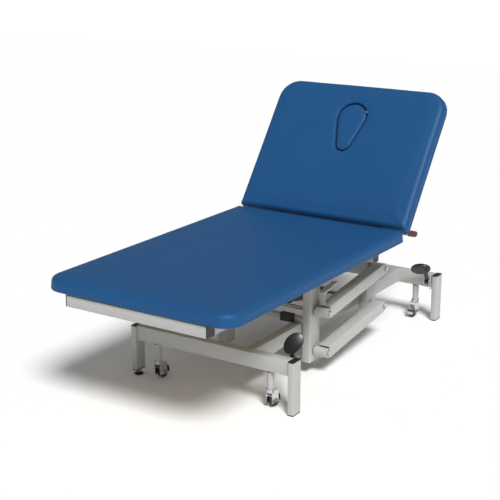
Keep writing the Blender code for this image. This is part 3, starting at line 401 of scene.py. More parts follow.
disc_radius = (high.x - low.x) / 2
disc_profile = [(0.0, DISC_HEIGHT), (0.0085, DISC_HEIGHT), (0.0095, 0.0070), (0.0150, 0.0062),
                (disc_radius - 0.0012, 0.0045), (disc_radius, 0.0030), (disc_radius, 0.0008),
                (disc_radius - 0.0008, 0.0), (0.0, 0.0)]
foot_disc = fit("levelling_disc", turned(disc_profile), "levelling_foot", black_nylon, 0, foot_place)
for item in (foot_screw, foot_disc):
    item.modifiers.new("Skin", "NODES").node_group = smooth_faces
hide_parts("levelling_foot")


def hexagon(radius, low, high):
    """A hexagon nut or head about Z."""
    shape = bmesh.new()
    middle = Matrix.Translation((0.0, 0.0, (low + high) / 2))
    bmesh.ops.create_cone(shape, cap_ends=True, segments=6, radius1=radius, radius2=radius,
                          depth=high - low, matrix=middle)
    return shape


fit("levelling_nut", hexagon(NUT_RADIUS, *NUT_SPAN), "base", zinc, 0.0008, foot_place)


# --- Pivot washers ---
# Each pivot has a moulded black nylon thrust washer between post and boss, so that metal doesn't rub on
# metal, and a zinc-plated collar round the bolt head.
WASHER_INNER = 0.0086
WASHER_OUTER = 0.0165
WASHER_START = 0.2203
WASHER_END = 0.2232
COLLAR_INNER = 0.0123
COLLAR_OUTER = 0.0175
COLLAR_THICKNESS = 0.0022
COLLAR_FROM_END = 0.007
head_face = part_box("rear_upper_shaft")[1].x - COLLAR_FROM_END
rear_upper = Vector(joints["lift"]["pos_m"])
rear_lower = Vector(joints["lower_arm_pivot"]["pos_m"])
front_upper = Vector(joints["top_pivot"]["pos_m"])
front_lower = rear_lower + front_upper - rear_upper
PIVOTS = (("rear_upper", rear_upper, "base"), ("rear_lower", rear_lower, "base"),
          ("front_upper", front_upper, "top_frame"), ("front_lower", front_lower, "top_frame"))
for pivot_name, point, body in PIVOTS:
    for side_name, sign in SIDES:
        across = Matrix.Translation((0.0, point.y, point.z)) @ Matrix.Rotation(sign * math.pi / 2, 4, "Y")
        washer = ring(WASHER_INNER, WASHER_OUTER, WASHER_START, WASHER_END)
        fit(f"{pivot_name}_washer_{side_name}", washer, body, black_nylon, 0.0004, across)
        collar = ring(COLLAR_INNER, COLLAR_OUTER, head_face, head_face + COLLAR_THICKNESS)
        fit(f"{pivot_name}_collar_{side_name}", collar, body, zinc, 0.0005, across)


# --- Lifting arm welds and bump stops ---
# The bosses are turned steel, pushed through the arm tubes and welded round on the inner side. Two thin
# moulded rubber pads lie under the tube between the hanging posts.
def circle_run(centre, radius, steps=40):
    """A closed run round a boss, across X."""
    run = []
    for step in range(steps):
        angle = 2 * math.pi * step / steps
        run.append(centre + Vector((0.0, radius * math.cos(angle), radius * math.sin(angle))))
    return run, True


BOSS_RADIUS = 0.020
ARM_FACE = 0.235
ARMS = (("upper_arm", (rear_upper, front_upper)), ("lower_arm", (rear_lower, front_lower)))
for arm_name, ends in ARMS:
    runs = [circle_run(Vector((sign * ARM_FACE, point.y, point.z)), BOSS_RADIUS)
            for side_name, sign in SIDES for point in ends]
    bead_curve(f"{arm_name}_welds", runs, f"{arm_name}s")

black_rubber, tree, shader, place = start_material("moulded_black_rubber", "castor_rubber", {"IOR": 1.52})
drifting_colour(tree, shader, place, "#1B1B1C", "#131314", 0.05)
grainy_skin(tree, shader, place, 0.0012, 0.00015, 0.55, 0.75)
BUMPER_PROFILE = ((0.0, 0.0), (0.0088, 0.0), (0.0096, -0.00024), (0.0084, -0.0012),
                  (0.0048, -0.00144), (0.0, -0.001464))
BUMPER_X = 0.10
BUMPER_GAP = 0.0002
cross_low, cross_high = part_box("post_cross_tube")
for side_name, sign in SIDES:
    spot = (sign * BUMPER_X, (cross_low.y + cross_high.y) / 2, cross_low.z - BUMPER_GAP)
    fit(f"bump_stop_{side_name}", turned(BUMPER_PROFILE, 32), "top_frame", black_rubber, 0.0004,
        Matrix.Translation(spot))


# --- Limit switch ---
# A moulded black nylon box on the foot side of the tube between the hanging posts, with a zinc-plated
# foot plate over the tube.
SWITCH_SPAN = (0.096, 0.150)
SWITCH_DEPTH = 0.024
SWITCH_HEIGHT = 0.034
SWITCH_RAISE = 0.002
SWITCH_EDGE = 0.0022
PLATE_INSET = 0.008
PLATE_REACH = 0.006
PLATE_SPAN = (0.0002, 0.0022)
switch_left, switch_right = SWITCH_SPAN
switch_face = cross_low.y - FIT_GAP
switch_foot_z = cross_low.z + SWITCH_RAISE
switch = block((switch_left, switch_face - SWITCH_DEPTH, switch_foot_z),
               (switch_right, switch_face, switch_foot_z + SWITCH_HEIGHT))
fit("limit_switch", switch, "top_frame", black_nylon, SWITCH_EDGE)
plate = block((switch_left + PLATE_INSET, cross_low.y - PLATE_REACH, cross_high.z + PLATE_SPAN[0]),
              (switch_right - PLATE_INSET, cross_high.y, cross_high.z + PLATE_SPAN[1]))
fit("limit_switch_foot", plate, "top_frame", zinc, 0.0004)


# --- Linear actuator ---
# A 24 V spindle drive: black moulded motor housing, black extruded tube, a clamped end ring and a plated
# rod with a slotted eye on the front shaft.
dress(black_nylon, "actuator_body", radius=0.0015)
drive_from = Vector(joints["actuator_pivot"]["pos_m"])
drive_way = Vector(joints["actuator_stroke"]["axis"])
drive_turn = drive_way.to_track_quat("Z", "Y").to_matrix().to_4x4()
drive_place = Matrix.Translation(drive_from) @ drive_turn
TUBE_BITE = 0.0226           # just under the tube's radius, so that the rings grip it
RING_RADIUS = 0.0262
SEAL_BORE = 0.0104
SEAL_RADIUS = 0.0150
DRIVE_RINGS = (("actuator_end_ring", 0.286, 0.016, TUBE_BITE, RING_RADIUS, black_nylon),
               ("actuator_clamp_ring", 0.112, 0.012, TUBE_BITE, RING_RADIUS, black_nylon),
               ("actuator_rod_seal", 0.3003, 0.004, SEAL_BORE, SEAL_RADIUS, black_rubber))
for name, along, length, inner, outer, finish in DRIVE_RINGS:
    fit(name, ring(inner, outer, along, along + length), "actuator_tube", finish, 0.0008, drive_place)


# --- Boards ---
# Twelve-millimetre birch plywood, cut square and let into the padding from below, with the bare face and
# the plies showing at the edges. The face grain is drawn at 4 mm and the plies at their real 1.5 mm.
back_hinge = Vector(joints["backrest"]["pos_m"])
back_slope = math.radians(-joints["backrest"]["range_deg"][0])
back_place = Matrix.Translation(back_hinge) @ Matrix.Rotation(back_slope, 4, "X")


FACE_GRAIN = 0.004
PLY_PAIR = 0.0030            # one light and one dark ply
BAND_SCALE = 0.3142          # a wave texture's scale times the spacing of its bands


def plywood(name, slope):
    """Birch plywood whose plies lie across the board's own thickness."""
    material, tree, shader, place = start_material(name, "plywood", {"Roughness": 0.62, "IOR": 1.5})
    level = add(tree, "ShaderNodeMapping", values={"Rotation": (-slope, 0.0, 0.0)}, links={"Vector": place})
    stretched = add(tree, "ShaderNodeMapping", values={"Scale": (1.0, 0.08, 1.0)},
                    links={"Vector": level.outputs["Vector"]})
    grain = add(tree, "ShaderNodeTexNoise", values={"Scale": 1 / FACE_GRAIN, "Detail": 4.0},
                links={"Vector": stretched.outputs["Vector"]})
    plies = add(tree, "ShaderNodeTexWave", {"bands_direction": "Z"}, {"Scale": BAND_SCALE / PLY_PAIR},
                {"Vector": level.outputs["Vector"]})
    shade = add(tree, "ShaderNodeMath", {"operation": "MULTIPLY_ADD"}, {1: 0.35},
                {0: plies.outputs["Fac"], 2: grain.outputs["Fac"]})
    colour = add(tree, "ShaderNodeMix", {"data_type": "RGBA"},
                 {6: linear("#CBB794"), 7: linear("#A5916F")}, {0: shade.outputs[0]})
    tree.links.new(colour.outputs[2], shader.inputs["Base Color"])
    bump = add(tree, "ShaderNodeBump", values={"Strength": 0.4, "Distance": 0.0002},
               links={"Height": grain.outputs["Fac"]})
    tree.links.new(bump.outputs["Normal"], shader.inputs["Normal"])
    return material


dress(plywood("birch_plywood_seat", 0.0), "seat_board", radius=0.0008)
dress(plywood("birch_plywood_back", back_slope), "back_board", radius=0.0008)

SCREW_PROFILE = ((0.0, -0.0022), (0.0022, -0.0022), (0.0040, -0.0016), (0.0052, 0.0),
                 (0.0052, 0.0005), (0.0, 0.0005))
SCREW_X = 0.262
SCREW_SHARES = (0.16, 0.38, 0.62, 0.84)


def screw_row(name, places, body, matrix):
    """Pan-head wood screws under a board, as one piece; their heads face down."""
    heads = []
    for spot in places:
        head = turned(SCREW_PROFILE, 20)
        bmesh.ops.translate(head, verts=head.verts, vec=spot)
        heads.append(head)
    item = fit(name, merge(*heads), body, zinc, 0, matrix)
    item.modifiers.new("Skin", "NODES").node_group = smooth_faces


seat_board_low, seat_board_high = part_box("seat_board")
board_length = seat_board_high.y - seat_board_low.y
spots = [(sign * SCREW_X, seat_board_low.y + share * board_length, seat_board_low.z)
         for share in SCREW_SHARES for sign in (-1, 1)]
screw_row("seat_board_screws", spots, "top_frame", None)


# --- Seat and backrest cushions ---
# Polyurethane-coated upholstery vinyl stretched over firm foam, pulled round the lower edge and stapled
# to the board. It is smooth and satin; the edges are full and round, and the top has a slight crown.
# The leather grain is about 1 mm; it is drawn at 2.5 mm so that it shows.
vinyl, tree, shader, place = start_material("coated_upholstery_vinyl", "blue_vinyl",
                                            {"IOR": 1.5, "Specular IOR Level": 0.2})
drifting_colour(tree, shader, place, "#1C5081", "#1B4C7A", 0.18)
LEATHER_CELL = 0.0025
LEATHER_FOLD = 0.0012
cells = add(tree, "ShaderNodeTexVoronoi", {"feature": "SMOOTH_F1"}, {"Scale": 1 / LEATHER_CELL},
            {"Vector": place})
folds = add(tree, "ShaderNodeTexNoise", values={"Scale": 1 / LEATHER_FOLD, "Detail": 2.0},
            links={"Vector": place})
height = add(tree, "ShaderNodeMath", {"operation": "ADD"}, {},
             {0: cells.outputs["Distance"], 1: folds.outputs["Fac"]})
grain = add(tree, "ShaderNodeBump", values={"Strength": 0.35, "Distance": 0.0002},
            links={"Height": height.outputs[0]})
tree.links.new(grain.outputs["Normal"], shader.inputs["Normal"])
gloss = add(tree, "ShaderNodeMapRange", values={"To Min": 0.44, "To Max": 0.54},
            links={"Value": folds.outputs["Fac"]})
tree.links.new(gloss.outputs["Result"], shader.inputs["Roughness"])

COVER_SWELL = 0.003          # how far the pressed-in foam pushes the cover out
SIDE_SWELL = 0.0005
COVER_MESH = 0.008
BACK_MESH = 0.006
PLUG_MESH = 0.005
EDGE_TOP_ROUND = 0.024
EDGE_BOTTOM_ROUND = 0.010
FOOT_CORNER = 0.075
HINGE_CORNER = 0.014
HEAD_CORNER = 0.095
BOARD_POCKET_EDGE = 0.022
BOARD_POCKET_DEPTH = 0.0145
STAPLED_BAND = 0.014
PRESSED_STEPS = 20
FOAM_PRESSURE = 4.0
SIDE_DRAW = 0.002            # how much of its width a cover draws in, at mid length
SEAT_CROWN = 0.003
BACK_CROWN = 0.002


def local_box(name, matrix):
    """The corners of a CAD node in a frame of its own."""
    inverse = matrix.inverted()
    points = np.array([inverse @ vertex.co for vertex in nodes[name].data.vertices])
    return Vector(points.min(0)), Vector(points.max(0))


def rounded_pad(low, high, near_corner, far_corner):
    """The foam as cut: rounded in plan, full above, tighter below, hollowed for its board."""
    shape = block(low, high)
    for y_end, radius in ((low.y, near_corner), (high.y, far_corner)):
        posts = [edge for edge in shape.edges
                 if abs(edge.verts[0].co.z - edge.verts[1].co.z) > MERGE_DISTANCE
                 and all(abs(vertex.co.y - y_end) < MERGE_DISTANCE for vertex in edge.verts)]
        bmesh.ops.bevel(shape, geom=posts, offset=radius, segments=10, profile=0.5, affect="EDGES")
    for level, radius in ((high.z, EDGE_TOP_ROUND), (low.z, EDGE_BOTTOM_ROUND)):
        rim = [edge for edge in shape.edges
               if all(abs(vertex.co.z - level) < MERGE_DISTANCE for vertex in edge.verts)]
        bmesh.ops.bevel(shape, geom=rim, offset=radius, segments=6, profile=0.5, affect="EDGES")
    sole = [face for face in shape.faces
            if face.normal.z < -0.99 and abs(face.calc_center_median().z - low.z) < MERGE_DISTANCE]
    bmesh.ops.inset_region(shape, faces=sole, thickness=BOARD_POCKET_EDGE - EDGE_BOTTOM_ROUND, depth=0.0)
    grown = bmesh.ops.extrude_face_region(shape, geom=sole)
    lifted = [item for item in grown["geom"] if isinstance(item, bmesh.types.BMVert)]
    bmesh.ops.translate(shape, verts=lifted, vec=(0.0, 0.0, BOARD_POCKET_DEPTH))
    bmesh.ops.delete(shape, geom=sole, context="FACES")
    bmesh.ops.recalc_face_normals(shape, faces=shape.faces)
    return shape


def evaluated_mesh(item):
    """The mesh an object's modifiers give."""
    graph = bpy.context.evaluated_depsgraph_get()
    return bpy.data.meshes.new_from_object(item.evaluated_get(graph), depsgraph=graph)


def scratch_object(name, mesh):
    """An object that is only there while a cover is made."""
    item = bpy.data.objects.new(name, mesh)
    bpy.context.scene.collection.objects.link(item)
    return item


def coordinates(mesh):
    """A mesh's vertices as rows of x, y and z."""
    points = np.empty(len(mesh.vertices) * 3, np.float32)
    mesh.vertices.foreach_get("co", points)
    return points.reshape(-1, 3).astype(float)


def even_mesh(shape, cell, hole=None):
    """A shape remeshed into even quads, with a hole cut through it first."""
    mesh = bpy.data.meshes.new("foam")
    shape.to_mesh(mesh)
    shape.free()
    item = scratch_object("foam", mesh)
    if hole:
        tool_mesh = bpy.data.meshes.new("hole")
        hole.to_mesh(tool_mesh)
        hole.free()
        tool = scratch_object("hole", tool_mesh)
        punch = item.modifiers.new("Hole", "BOOLEAN")
        punch.object = tool
    cells = item.modifiers.new("Cells", "REMESH")
    cells.mode = "VOXEL"
    cells.voxel_size = cell
    result = evaluated_mesh(item)
    bpy.data.objects.remove(item)
    if hole:
        bpy.data.objects.remove(tool)
    return result


def press_out(mesh, held, most):
    """Stretch the cover over the swelling foam by simulation; no point moves further than its limit."""
    rest = coordinates(mesh)
    item = scratch_object("cover", mesh)
    group = item.vertex_groups.new(name="stapled")
    group.add([int(index) for index in np.flatnonzero(held)], 1.0, "REPLACE")
    cover = item.modifiers.new("Cover", "CLOTH")
    cover.settings.vertex_group_mass = "stapled"
    cover.settings.use_pressure = True
    cover.settings.uniform_pressure_force = FOAM_PRESSURE
    cover.settings.effector_weights.gravity = 0.0
    cover.point_cache.frame_end = PRESSED_STEPS
    for step in range(1, PRESSED_STEPS + 1):
        bpy.context.scene.frame_set(step)
    pressed = evaluated_mesh(item)
    move = coordinates(pressed) - rest
    bpy.context.scene.frame_set(1)
    bpy.data.objects.remove(item)
    length = np.linalg.norm(move, axis=1, keepdims=True)
    limit = most.reshape(-1, 1)
    share = limit * np.tanh(length / np.maximum(limit, 1e-9)) / np.maximum(length, 1e-9)
    rest = rest + move * share
    return rest


def finish_cover(name, mesh, points, matrix, body):
    """The stretched cover as a piece, with one subdivision."""
    mesh.vertices.foreach_set("co", points.astype(np.float32).ravel())
    mesh.transform(matrix)
    mesh.shade_smooth()
    item = bpy.data.objects.new(name, mesh)
    bpy.context.scene.collection.objects.link(item)
    mesh.materials.clear()
    mesh.materials.append(vinyl)
    fine = item.modifiers.new("Fine", "SUBSURF")
    fine.levels = 1
    fine.render_levels = 1
    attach(item, body)
    return item


def settle(points, low, high, crown):
    """Crown the top a little towards its middle, and draw the long sides in between the corners."""
    across = np.clip(1 - ((points[:, 0] - (low.x + high.x) / 2) / ((high.x - low.x) / 2)) ** 2, 0, 1)
    along = np.clip(1 - ((points[:, 1] - (low.y + high.y) / 2) / ((high.y - low.y) / 2)) ** 2, 0, 1)
    top = np.clip((points[:, 2] - low.z) / (high.z - low.z) - 0.5, 0, 0.5) * 2
    points[:, 2] += crown * across * along * top
    middle = (low.x + high.x) / 2
    points[:, 0] = middle + (points[:, 0] - middle) * (1 - SIDE_DRAW * along)
    return points


def pad_start(low, high):
    """The foam's box: smaller than the finished cushion where the cover swells."""
    swell = Vector((SIDE_SWELL, COVER_SWELL, 0.0))
    return low + swell, high - swell - Vector((0.0, 0.0, COVER_SWELL))


seat_low, seat_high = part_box("seat_cushion")
low, high = pad_start(seat_low, seat_high)
mesh = even_mesh(rounded_pad(low, high, FOOT_CORNER, HINGE_CORNER), COVER_MESH)
points = coordinates(mesh)
held = points[:, 2] < low.z + STAPLED_BAND
points = press_out(mesh, held, np.full(len(points), COVER_SWELL))
points = settle(points, low, high, SEAT_CROWN)
seat_cushion = finish_cover("seat_upholstery", mesh, points, Matrix.Identity(4), "top_frame")
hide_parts("seat_cushion")

# The face hole is a teardrop: a wide and a narrow arc joined by tangents, through foam and board.
plug_low, plug_high = local_box("face_plug", back_place)
WIDE_RADIUS = (plug_high.x - plug_low.x) / 2
NARROW_RADIUS = 0.036
PLUG_RIM = 0.008
HOLE_RIM = 0.012
HOLE_RIM_START = 0.002
HOLE_RIM_DROP = 0.0005
HOLE_ROOM = 0.0035
HOLE_STAPLED = 0.003
HOLE_STIFF = 0.03            # the cover swells fully only this far from the hole
HOLE_CUT = 0.02              # the cutter's length past the foam
wide_y = plug_high.y - WIDE_RADIUS
arc_spacing = plug_high.y - plug_low.y - WIDE_RADIUS - NARROW_RADIUS


def teardrop(grow, low_z, high_z, steps=28):
    """The teardrop as a solid, grown all round."""
    wide, narrow = WIDE_RADIUS + grow, NARROW_RADIUS + grow
    lean = math.asin((wide - narrow) / arc_spacing)
    arcs = ((wide_y, wide, -lean, math.pi + 2 * lean),
            (wide_y - arc_spacing, narrow, math.pi + lean, math.pi - 2 * lean))
    outline = []
    for centre_y, radius, start, sweep in arcs:
        for step in range(steps + 1):
            angle = start + sweep * step / steps
            outline.append((radius * math.cos(angle), centre_y + radius * math.sin(angle)))
    shape = bmesh.new()
    face = shape.faces.new([shape.verts.new((x, y, low_z)) for x, y in outline])
    grown = bmesh.ops.extrude_face_region(shape, geom=[face])
    lifted = [item for item in grown["geom"] if isinstance(item, bmesh.types.BMVert)]
    bmesh.ops.translate(shape, verts=lifted, vec=(0.0, 0.0, high_z - low_z))
    bmesh.ops.recalc_face_normals(shape, faces=shape.faces)
    return shape


def from_teardrop(points):
    """Each point's distance outside the teardrop, in plan."""
    x = np.abs(points[:, 0])
    y = points[:, 1] - (wide_y - arc_spacing)
    lean = (NARROW_RADIUS - WIDE_RADIUS) / arc_spacing
    level = math.sqrt(1 - lean * lean)
    along = -lean * x + level * y
    side = level * x + lean * y - NARROW_RADIUS
    near_end = np.hypot(x, y) - NARROW_RADIUS
    far_end = np.hypot(x, y - arc_spacing) - WIDE_RADIUS
    return np.where(along < 0, near_end, np.where(along > level * arc_spacing, far_end, side))


def roll_rim(points, distance, top, radius):
    """Round the top down towards an edge, over the last part of the way to it."""
    into = np.clip(radius - distance, 0, radius)
    drop = radius - np.sqrt(np.maximum(radius * radius - into * into, 0))
    points[:, 2] = np.minimum(points[:, 2], top - drop)
    return points


back_low, back_high = local_box("back_cushion", back_place)
low, high = pad_start(back_low, back_high)
hole = teardrop(HOLE_ROOM, low.z - HOLE_CUT, high.z + HOLE_CUT)
mesh = even_mesh(rounded_pad(low, high, HINGE_CORNER, HEAD_CORNER), BACK_MESH, hole)
points = coordinates(mesh)
distance = from_teardrop(points)
held = (points[:, 2] < low.z + STAPLED_BAND) | (distance < HOLE_ROOM + HOLE_STAPLED)
reach = COVER_SWELL * np.clip((distance - HOLE_ROOM) / HOLE_STIFF, 0, 1)
points = press_out(mesh, held, reach)
points = settle(points, low, high, BACK_CROWN)
rim_distance = from_teardrop(points) - HOLE_RIM_START
points = roll_rim(points, rim_distance, points[:, 2].max() - HOLE_RIM_DROP, HOLE_RIM)
back_cushion = finish_cover("back_upholstery", mesh, points, back_place, "backrest")
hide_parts("back_cushion")


# --- Face-hole plug ---
# A block of the same foam, covered in the same vinyl and pushed into the face hole. Its rim is rounded,
# so a dark groove shows all round it.
PLUG_INSET = 0.0025
PLUG_SWELL = 0.002
PLUG_FREE = 0.018            # how far down from its top the plug's cover is free to swell
PLUG_STIFF = 0.02
plug_shape = teardrop(-PLUG_INSET, plug_low.z, plug_high.z - PLUG_SWELL)
mesh = even_mesh(plug_shape, PLUG_MESH)
points = coordinates(mesh)
inside = -from_teardrop(points)
held = points[:, 2] < plug_high.z - PLUG_FREE
points = press_out(mesh, held, PLUG_SWELL * np.clip(inside / PLUG_STIFF, 0, 1))
points = roll_rim(points, -from_teardrop(points) - PLUG_INSET, plug_high.z, PLUG_RIM)
face_plug = finish_cover("face_plug_upholstery", mesh, points, back_place, "face_plug")
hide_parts("face_plug")


# --- Staples and underside ---
# The cover is folded under and stapled to the board all round with plated 10 mm wire staples.
STAPLE_SPACING = 0.045
STAPLE_CROWN = 0.010
STAPLE_WIRE = 0.0008
STAPLE_INSET = 0.008


def staple_row(name, low, high, body, matrix):
    """Staples along the four edges of a board, near its rim, as one piece."""
    x_low, x_high = low.x + STAPLE_INSET, high.x - STAPLE_INSET
    y_low, y_high = low.y + STAPLE_INSET, high.y - STAPLE_INSET
    turns = ((x_low, y_low), (x_high, y_low), (x_high, y_high), (x_low, y_high))
    crowns = []
    for start, end in zip(turns, turns[1:] + turns[:1]):
        run = Vector((end[0] - start[0], end[1] - start[1], 0.0))
        count = int(run.length / STAPLE_SPACING)
        for number in range(1, count):
            spot = Vector((*start, low.z - STAPLE_WIRE / 2)) + run * number / count
            crown = block((-STAPLE_CROWN / 2, -STAPLE_WIRE / 2, -STAPLE_WIRE / 2),
                          (STAPLE_CROWN / 2, STAPLE_WIRE / 2, STAPLE_WIRE / 2))
            turn = Matrix.Rotation(math.atan2(run.y, run.x), 4, "Z")
            bmesh.ops.transform(crown, matrix=Matrix.Translation(spot) @ turn, verts=crown.verts)
            crowns.append(crown)
    fit(name, merge(*crowns), body, zinc, 0, matrix)


staple_row("seat_staples", seat_board_low, seat_board_high, "top_frame", None)
back_board_low, back_board_high = local_box("back_board", back_place)
staple_row("back_staples", back_board_low, back_board_high, "backrest", back_place)


# --- Gas spring ---
# A lockable gas spring: black painted cylinder with a rolled end, hard-chromed rod, and eyes pinned to
# the seat frame and to a bracket of two zinc-plated strips under the backrest.
GLOSS_PAINT = {"IOR": 1.5, "Coat Weight": 0.3, "Coat Roughness": 0.15}
painted_black, tree, shader, place = start_material("black_painted_steel", "black_painted_steel",
                                                    GLOSS_PAINT)
drifting_colour(tree, shader, place, "#18191B", "#121314", 0.08)
grainy_skin(tree, shader, place, 0.002, 0.0001, 0.26, 0.34)
chrome, tree, shader, place = start_material("hard_chromed_steel", "chrome", {"Metallic": 1.0})
drifting_colour(tree, shader, place, "#D3D5D8", "#C4C6CA", 0.05)
grainy_skin(tree, shader, place, 0.004, 0.00004, 0.10, 0.18)
dress(painted_black, "gas_spring_cylinder", radius=0.0008)
dress(chrome, "gas_spring_rod", radius=0.0004)

BRACKET_SPAN = (0.366, 0.426)
BRACKET_DROP = (-0.085, -0.037)
BRACKET_PLATES = (0.0095, 0.0125)
GAS_X = joints["gas_spring_pivot"]["pos_m"][0]
plates = []
for sign in (-1, 1):
    near, far = (GAS_X + sign * reach for reach in BRACKET_PLATES)
    plates.append(block((min(near, far), BRACKET_SPAN[0], BRACKET_DROP[0]),
                        (max(near, far), BRACKET_SPAN[1], BRACKET_DROP[1])))
fit("gas_spring_bracket", merge(*plates), "backrest", zinc, 0.0006, back_place)


# --- Release lever ---
# A flat steel lever, laser cut and powder coated with the frame, with a reddish-brown dipped vinyl sleeve
# over its tip. It opens the gas spring's valve through a cable.
dress(powder_coat, "release_lever", radius=0.0008)
dipped_vinyl, tree, shader, place = start_material("dipped_vinyl_sleeve", "black_plastic", {"IOR": 1.5})
drifting_colour(tree, shader, place, "#74493E", "#623D34", 0.03)
grainy_skin(tree, shader, place, 0.0015, 0.0001, 0.34, 0.44)

SLEEVE_START = 0.386
SLEEVE_END = 0.4255
SLEEVE_HALF_WIDTH = 0.0128
SLEEVE_HALF_THICKNESS = 0.0042
SLEEVE_TIP_ROUND = 0.01152
lever_hub = back_place.inverted() @ Vector(joints["release_lever"]["pos_m"])
sleeve = block((SLEEVE_START, lever_hub.y - SLEEVE_HALF_WIDTH, lever_hub.z - SLEEVE_HALF_THICKNESS),
               (SLEEVE_END, lever_hub.y + SLEEVE_HALF_WIDTH, lever_hub.z + SLEEVE_HALF_THICKNESS))
tip_edges = [edge for edge in sleeve.edges
             if all(abs(vertex.co.x - SLEEVE_END) < MERGE_DISTANCE for vertex in edge.verts)
             and abs(edge.verts[0].co.z - edge.verts[1].co.z) > MERGE_DISTANCE]
bmesh.ops.bevel(sleeve, geom=tip_edges, offset=SLEEVE_TIP_ROUND, segments=8, profile=0.5, affect="EDGES")
fit("release_lever_sleeve", sleeve, "release_lever", dipped_vinyl, 0.0016, back_place)


# --- Castors ---
# Twin-cheek swivel castors: chromed pressed-steel forks and hoods, a moulded black rubber wheel with grey
# nylon hub discs, and plated axle bolts. Each stem passes through a black collar under the cross beam.
dress(chrome, *[f"castor_fork_{corner}" for corner in CORNERS], radius=0.0005)
dress(black_rubber, *[f"castor_wheel_{corner}" for corner in CORNERS], radius=0.0025)
grey_nylon, tree, shader, place = start_material("moulded_grey_nylon", "black_plastic", {"IOR": 1.53})
drifting_colour(tree, shader, place, "#8E9092", "#838587", 0.02)
grainy_skin(tree, shader, place, 0.0015, 0.0001, 0.36, 0.46)



def hood(inner, outer, half_width, start, end, steps=18):
    """A curved plate round the X axis, between two angles from +Y."""
    shape = bmesh.new()
    corners = ((-half_width, inner), (half_width, inner), (half_width, outer), (-half_width, outer))
    rows = []
    for step in range(steps + 1):
        angle = start + (end - start) * step / steps
        around = (math.cos(angle), math.sin(angle))
        rows.append([shape.verts.new((x, radius * around[0], radius * around[1])) for x, radius in corners])
    for row, following in zip(rows, rows[1:]):
        for corner in range(4):
            turn = (corner + 1) % 4
            shape.faces.new((row[corner], row[turn], following[turn], following[corner]))
    shape.faces.new(rows[0])
    shape.faces.new(rows[-1][::-1])
    return shape


HOOD_INNER = 0.0265
HOOD_OUTER = 0.0280
HOOD_HALF_WIDTH = 0.0128
HOOD_FROM = math.radians(35)
HOOD_TO = math.radians(200)
HUB_RADIUS = 0.0125
HUB_FACE = 0.0104
BOLT_RADIUS = 0.0062
BOLT_START = 0.0172
BOLT_END = 0.0205
STEM_RADIUS = 0.0135
STEM_COLLAR = 0.0185
for corner in CORNERS:
    wheel_low, wheel_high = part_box(f"castor_wheel_{corner}")
    middle = (wheel_low + wheel_high) / 2
    across = Matrix.Translation(middle) @ Matrix.Rotation(math.pi / 2, 4, "Y")
    discs = [ring(0.0045, HUB_RADIUS, low, high) for low, high in ((-HUB_FACE, -HUB_FACE + 0.001),
                                                                  (HUB_FACE - 0.001, HUB_FACE))]
    fit(f"castor_hub_{corner}", merge(*discs), f"castor_wheel_{corner}", grey_nylon, 0.0004, across)
    bolts = [hexagon(BOLT_RADIUS, *sorted((end * BOLT_START, end * BOLT_END))) for end in (-1, 1)]
    fit(f"castor_axle_bolt_{corner}", merge(*bolts), f"castor_{corner}", zinc, 0.0006, across)
    trailing = 1 if corner.startswith("front") else -1
    cover_place = Matrix.Translation(middle) @ Matrix.Diagonal((1.0, -trailing, 1.0, 1.0))
    cover = hood(HOOD_INNER, HOOD_OUTER, HOOD_HALF_WIDTH, HOOD_FROM, HOOD_TO)
    fit(f"castor_hood_{corner}", cover, f"castor_{corner}", chrome, 0.0004, cover_place)
for end_name in ("front", "rear"):
    beam_low, beam_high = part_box(f"{end_name}_cross_beam")
    for side_name, sign in SIDES:
        stem = Vector(joints[f"castor_swivel_{end_name}_{side_name}"]["pos_m"])
        collar_place = Matrix.Translation((stem.x, stem.y, beam_low.z))
        collar = ring(STEM_RADIUS + 0.0008, STEM_COLLAR, -0.0030, -0.0002)
        fit(f"stem_collar_{end_name}_{side_name}", collar, "base", black_nylon, 0.0008, collar_place)


# --- Castor pedals ---
# Plain oval treads moulded in glossy black plastic, with rounded rims. Each one rocks on a bolt at the end
# of its cross beam and lowers the castors.
TREAD_GLOSS = {"IOR": 1.52, "Coat Weight": 0.15, "Coat Roughness": 0.25}
glossy_black, tree, shader, place = start_material("glossy_black_plastic", "black_plastic", TREAD_GLOSS)
drifting_colour(tree, shader, place, "#0D0D0F", "#08080A", 0.05)
grainy_skin(tree, shader, place, 0.002, 0.00008, 0.28, 0.36)
dress(glossy_black, "front_pedal", "rear_pedal", radius=0.0022)


# --- Floor, light and camera ---
# The table stands on a wide white floor that runs into a white background, lit by one large soft light
# from the front right. The shadow falls to the rear left.
floor_finish, tree, shader, place = start_material("matt_white_floor", "floor", {"Roughness": 0.9})
shader.inputs["Base Color"].default_value = linear("#FFFFFF")
shader.inputs["Specular IOR Level"].default_value = 0.1
FLOOR_REACH = 60.0
floor_mesh = bpy.data.meshes.new("floor")
floor_corners = [(-FLOOR_REACH, -FLOOR_REACH, 0), (FLOOR_REACH, -FLOOR_REACH, 0),
                 (FLOOR_REACH, FLOOR_REACH, 0), (-FLOOR_REACH, FLOOR_REACH, 0)]
floor_mesh.from_pydata(floor_corners, [], [(0, 1, 2, 3)])
floor = bpy.data.objects.new("floor", floor_mesh)
bpy.context.scene.collection.objects.link(floor)
floor_mesh.materials.append(floor_finish)

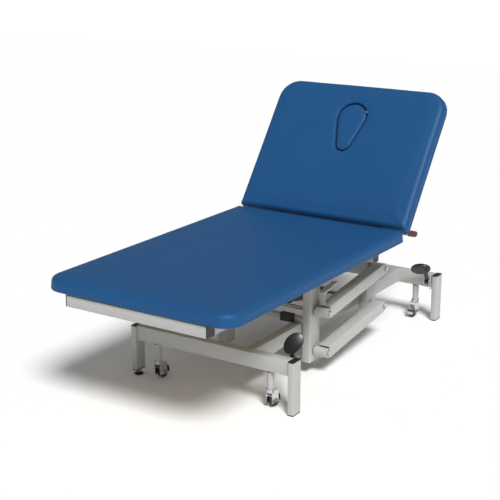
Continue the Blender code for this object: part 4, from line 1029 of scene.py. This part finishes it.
# The background is a plain lit sheet that only the camera sees, so it adds no light of its own.
backdrop_finish, tree, shader, place = start_material("lit_white_backdrop", "floor", {"Roughness": 1.0})
shader.inputs["Emission Color"].default_value = (1.0, 1.0, 1.0, 1.0)
shader.inputs["Emission Strength"].default_value = 1.0
backdrop_mesh = bpy.data.meshes.new("backdrop")
BACKDROP_Y = 9.0
backdrop_corners = [(-FLOOR_REACH, BACKDROP_Y, -1), (FLOOR_REACH, BACKDROP_Y, -1),
                    (FLOOR_REACH, BACKDROP_Y, FLOOR_REACH), (-FLOOR_REACH, BACKDROP_Y, FLOOR_REACH)]
backdrop_mesh.from_pydata(backdrop_corners, [], [(0, 1, 2, 3)])
backdrop = bpy.data.objects.new("backdrop", backdrop_mesh)
bpy.context.scene.collection.objects.link(backdrop)
backdrop_mesh.materials.append(backdrop_finish)
for light_path in ("visible_diffuse", "visible_glossy", "visible_shadow", "visible_transmission"):
    setattr(backdrop, light_path, False)

world = bpy.data.worlds.new("white_surround")
bpy.context.scene.world = world
world.use_nodes = True
world.node_tree.nodes["Background"].inputs["Color"].default_value = (1.0, 1.0, 1.0, 1.0)
world.node_tree.nodes["Background"].inputs["Strength"].default_value = 0.24

TO_LIGHT = Vector((0.75, -0.65, 1.15))
key = bpy.data.lights.new("soft_key", "SUN")
key.energy = 3.2
key.angle = math.radians(18)
key_item = bpy.data.objects.new("soft_key", key)
bpy.context.scene.collection.objects.link(key_item)
key_item.rotation_mode = "QUATERNION"
key_item.rotation_quaternion = TO_LIGHT.to_track_quat("Z", "Y")

camera = bpy.data.cameras.new("camera")
camera.sensor_width = 36.0
camera.lens = 85.27
camera_item = bpy.data.objects.new("camera", camera)
bpy.context.scene.collection.objects.link(camera_item)
camera_item.location = (2.4154, -3.8529, 1.8009)
camera_item.rotation_mode = "QUATERNION"
camera_item.rotation_quaternion = (-Vector((0.5229, -0.8052, 0.2798))).to_track_quat("-Z", "Y")
bpy.context.scene.camera = camera_item
bpy.context.scene.view_settings.view_transform = "Standard"
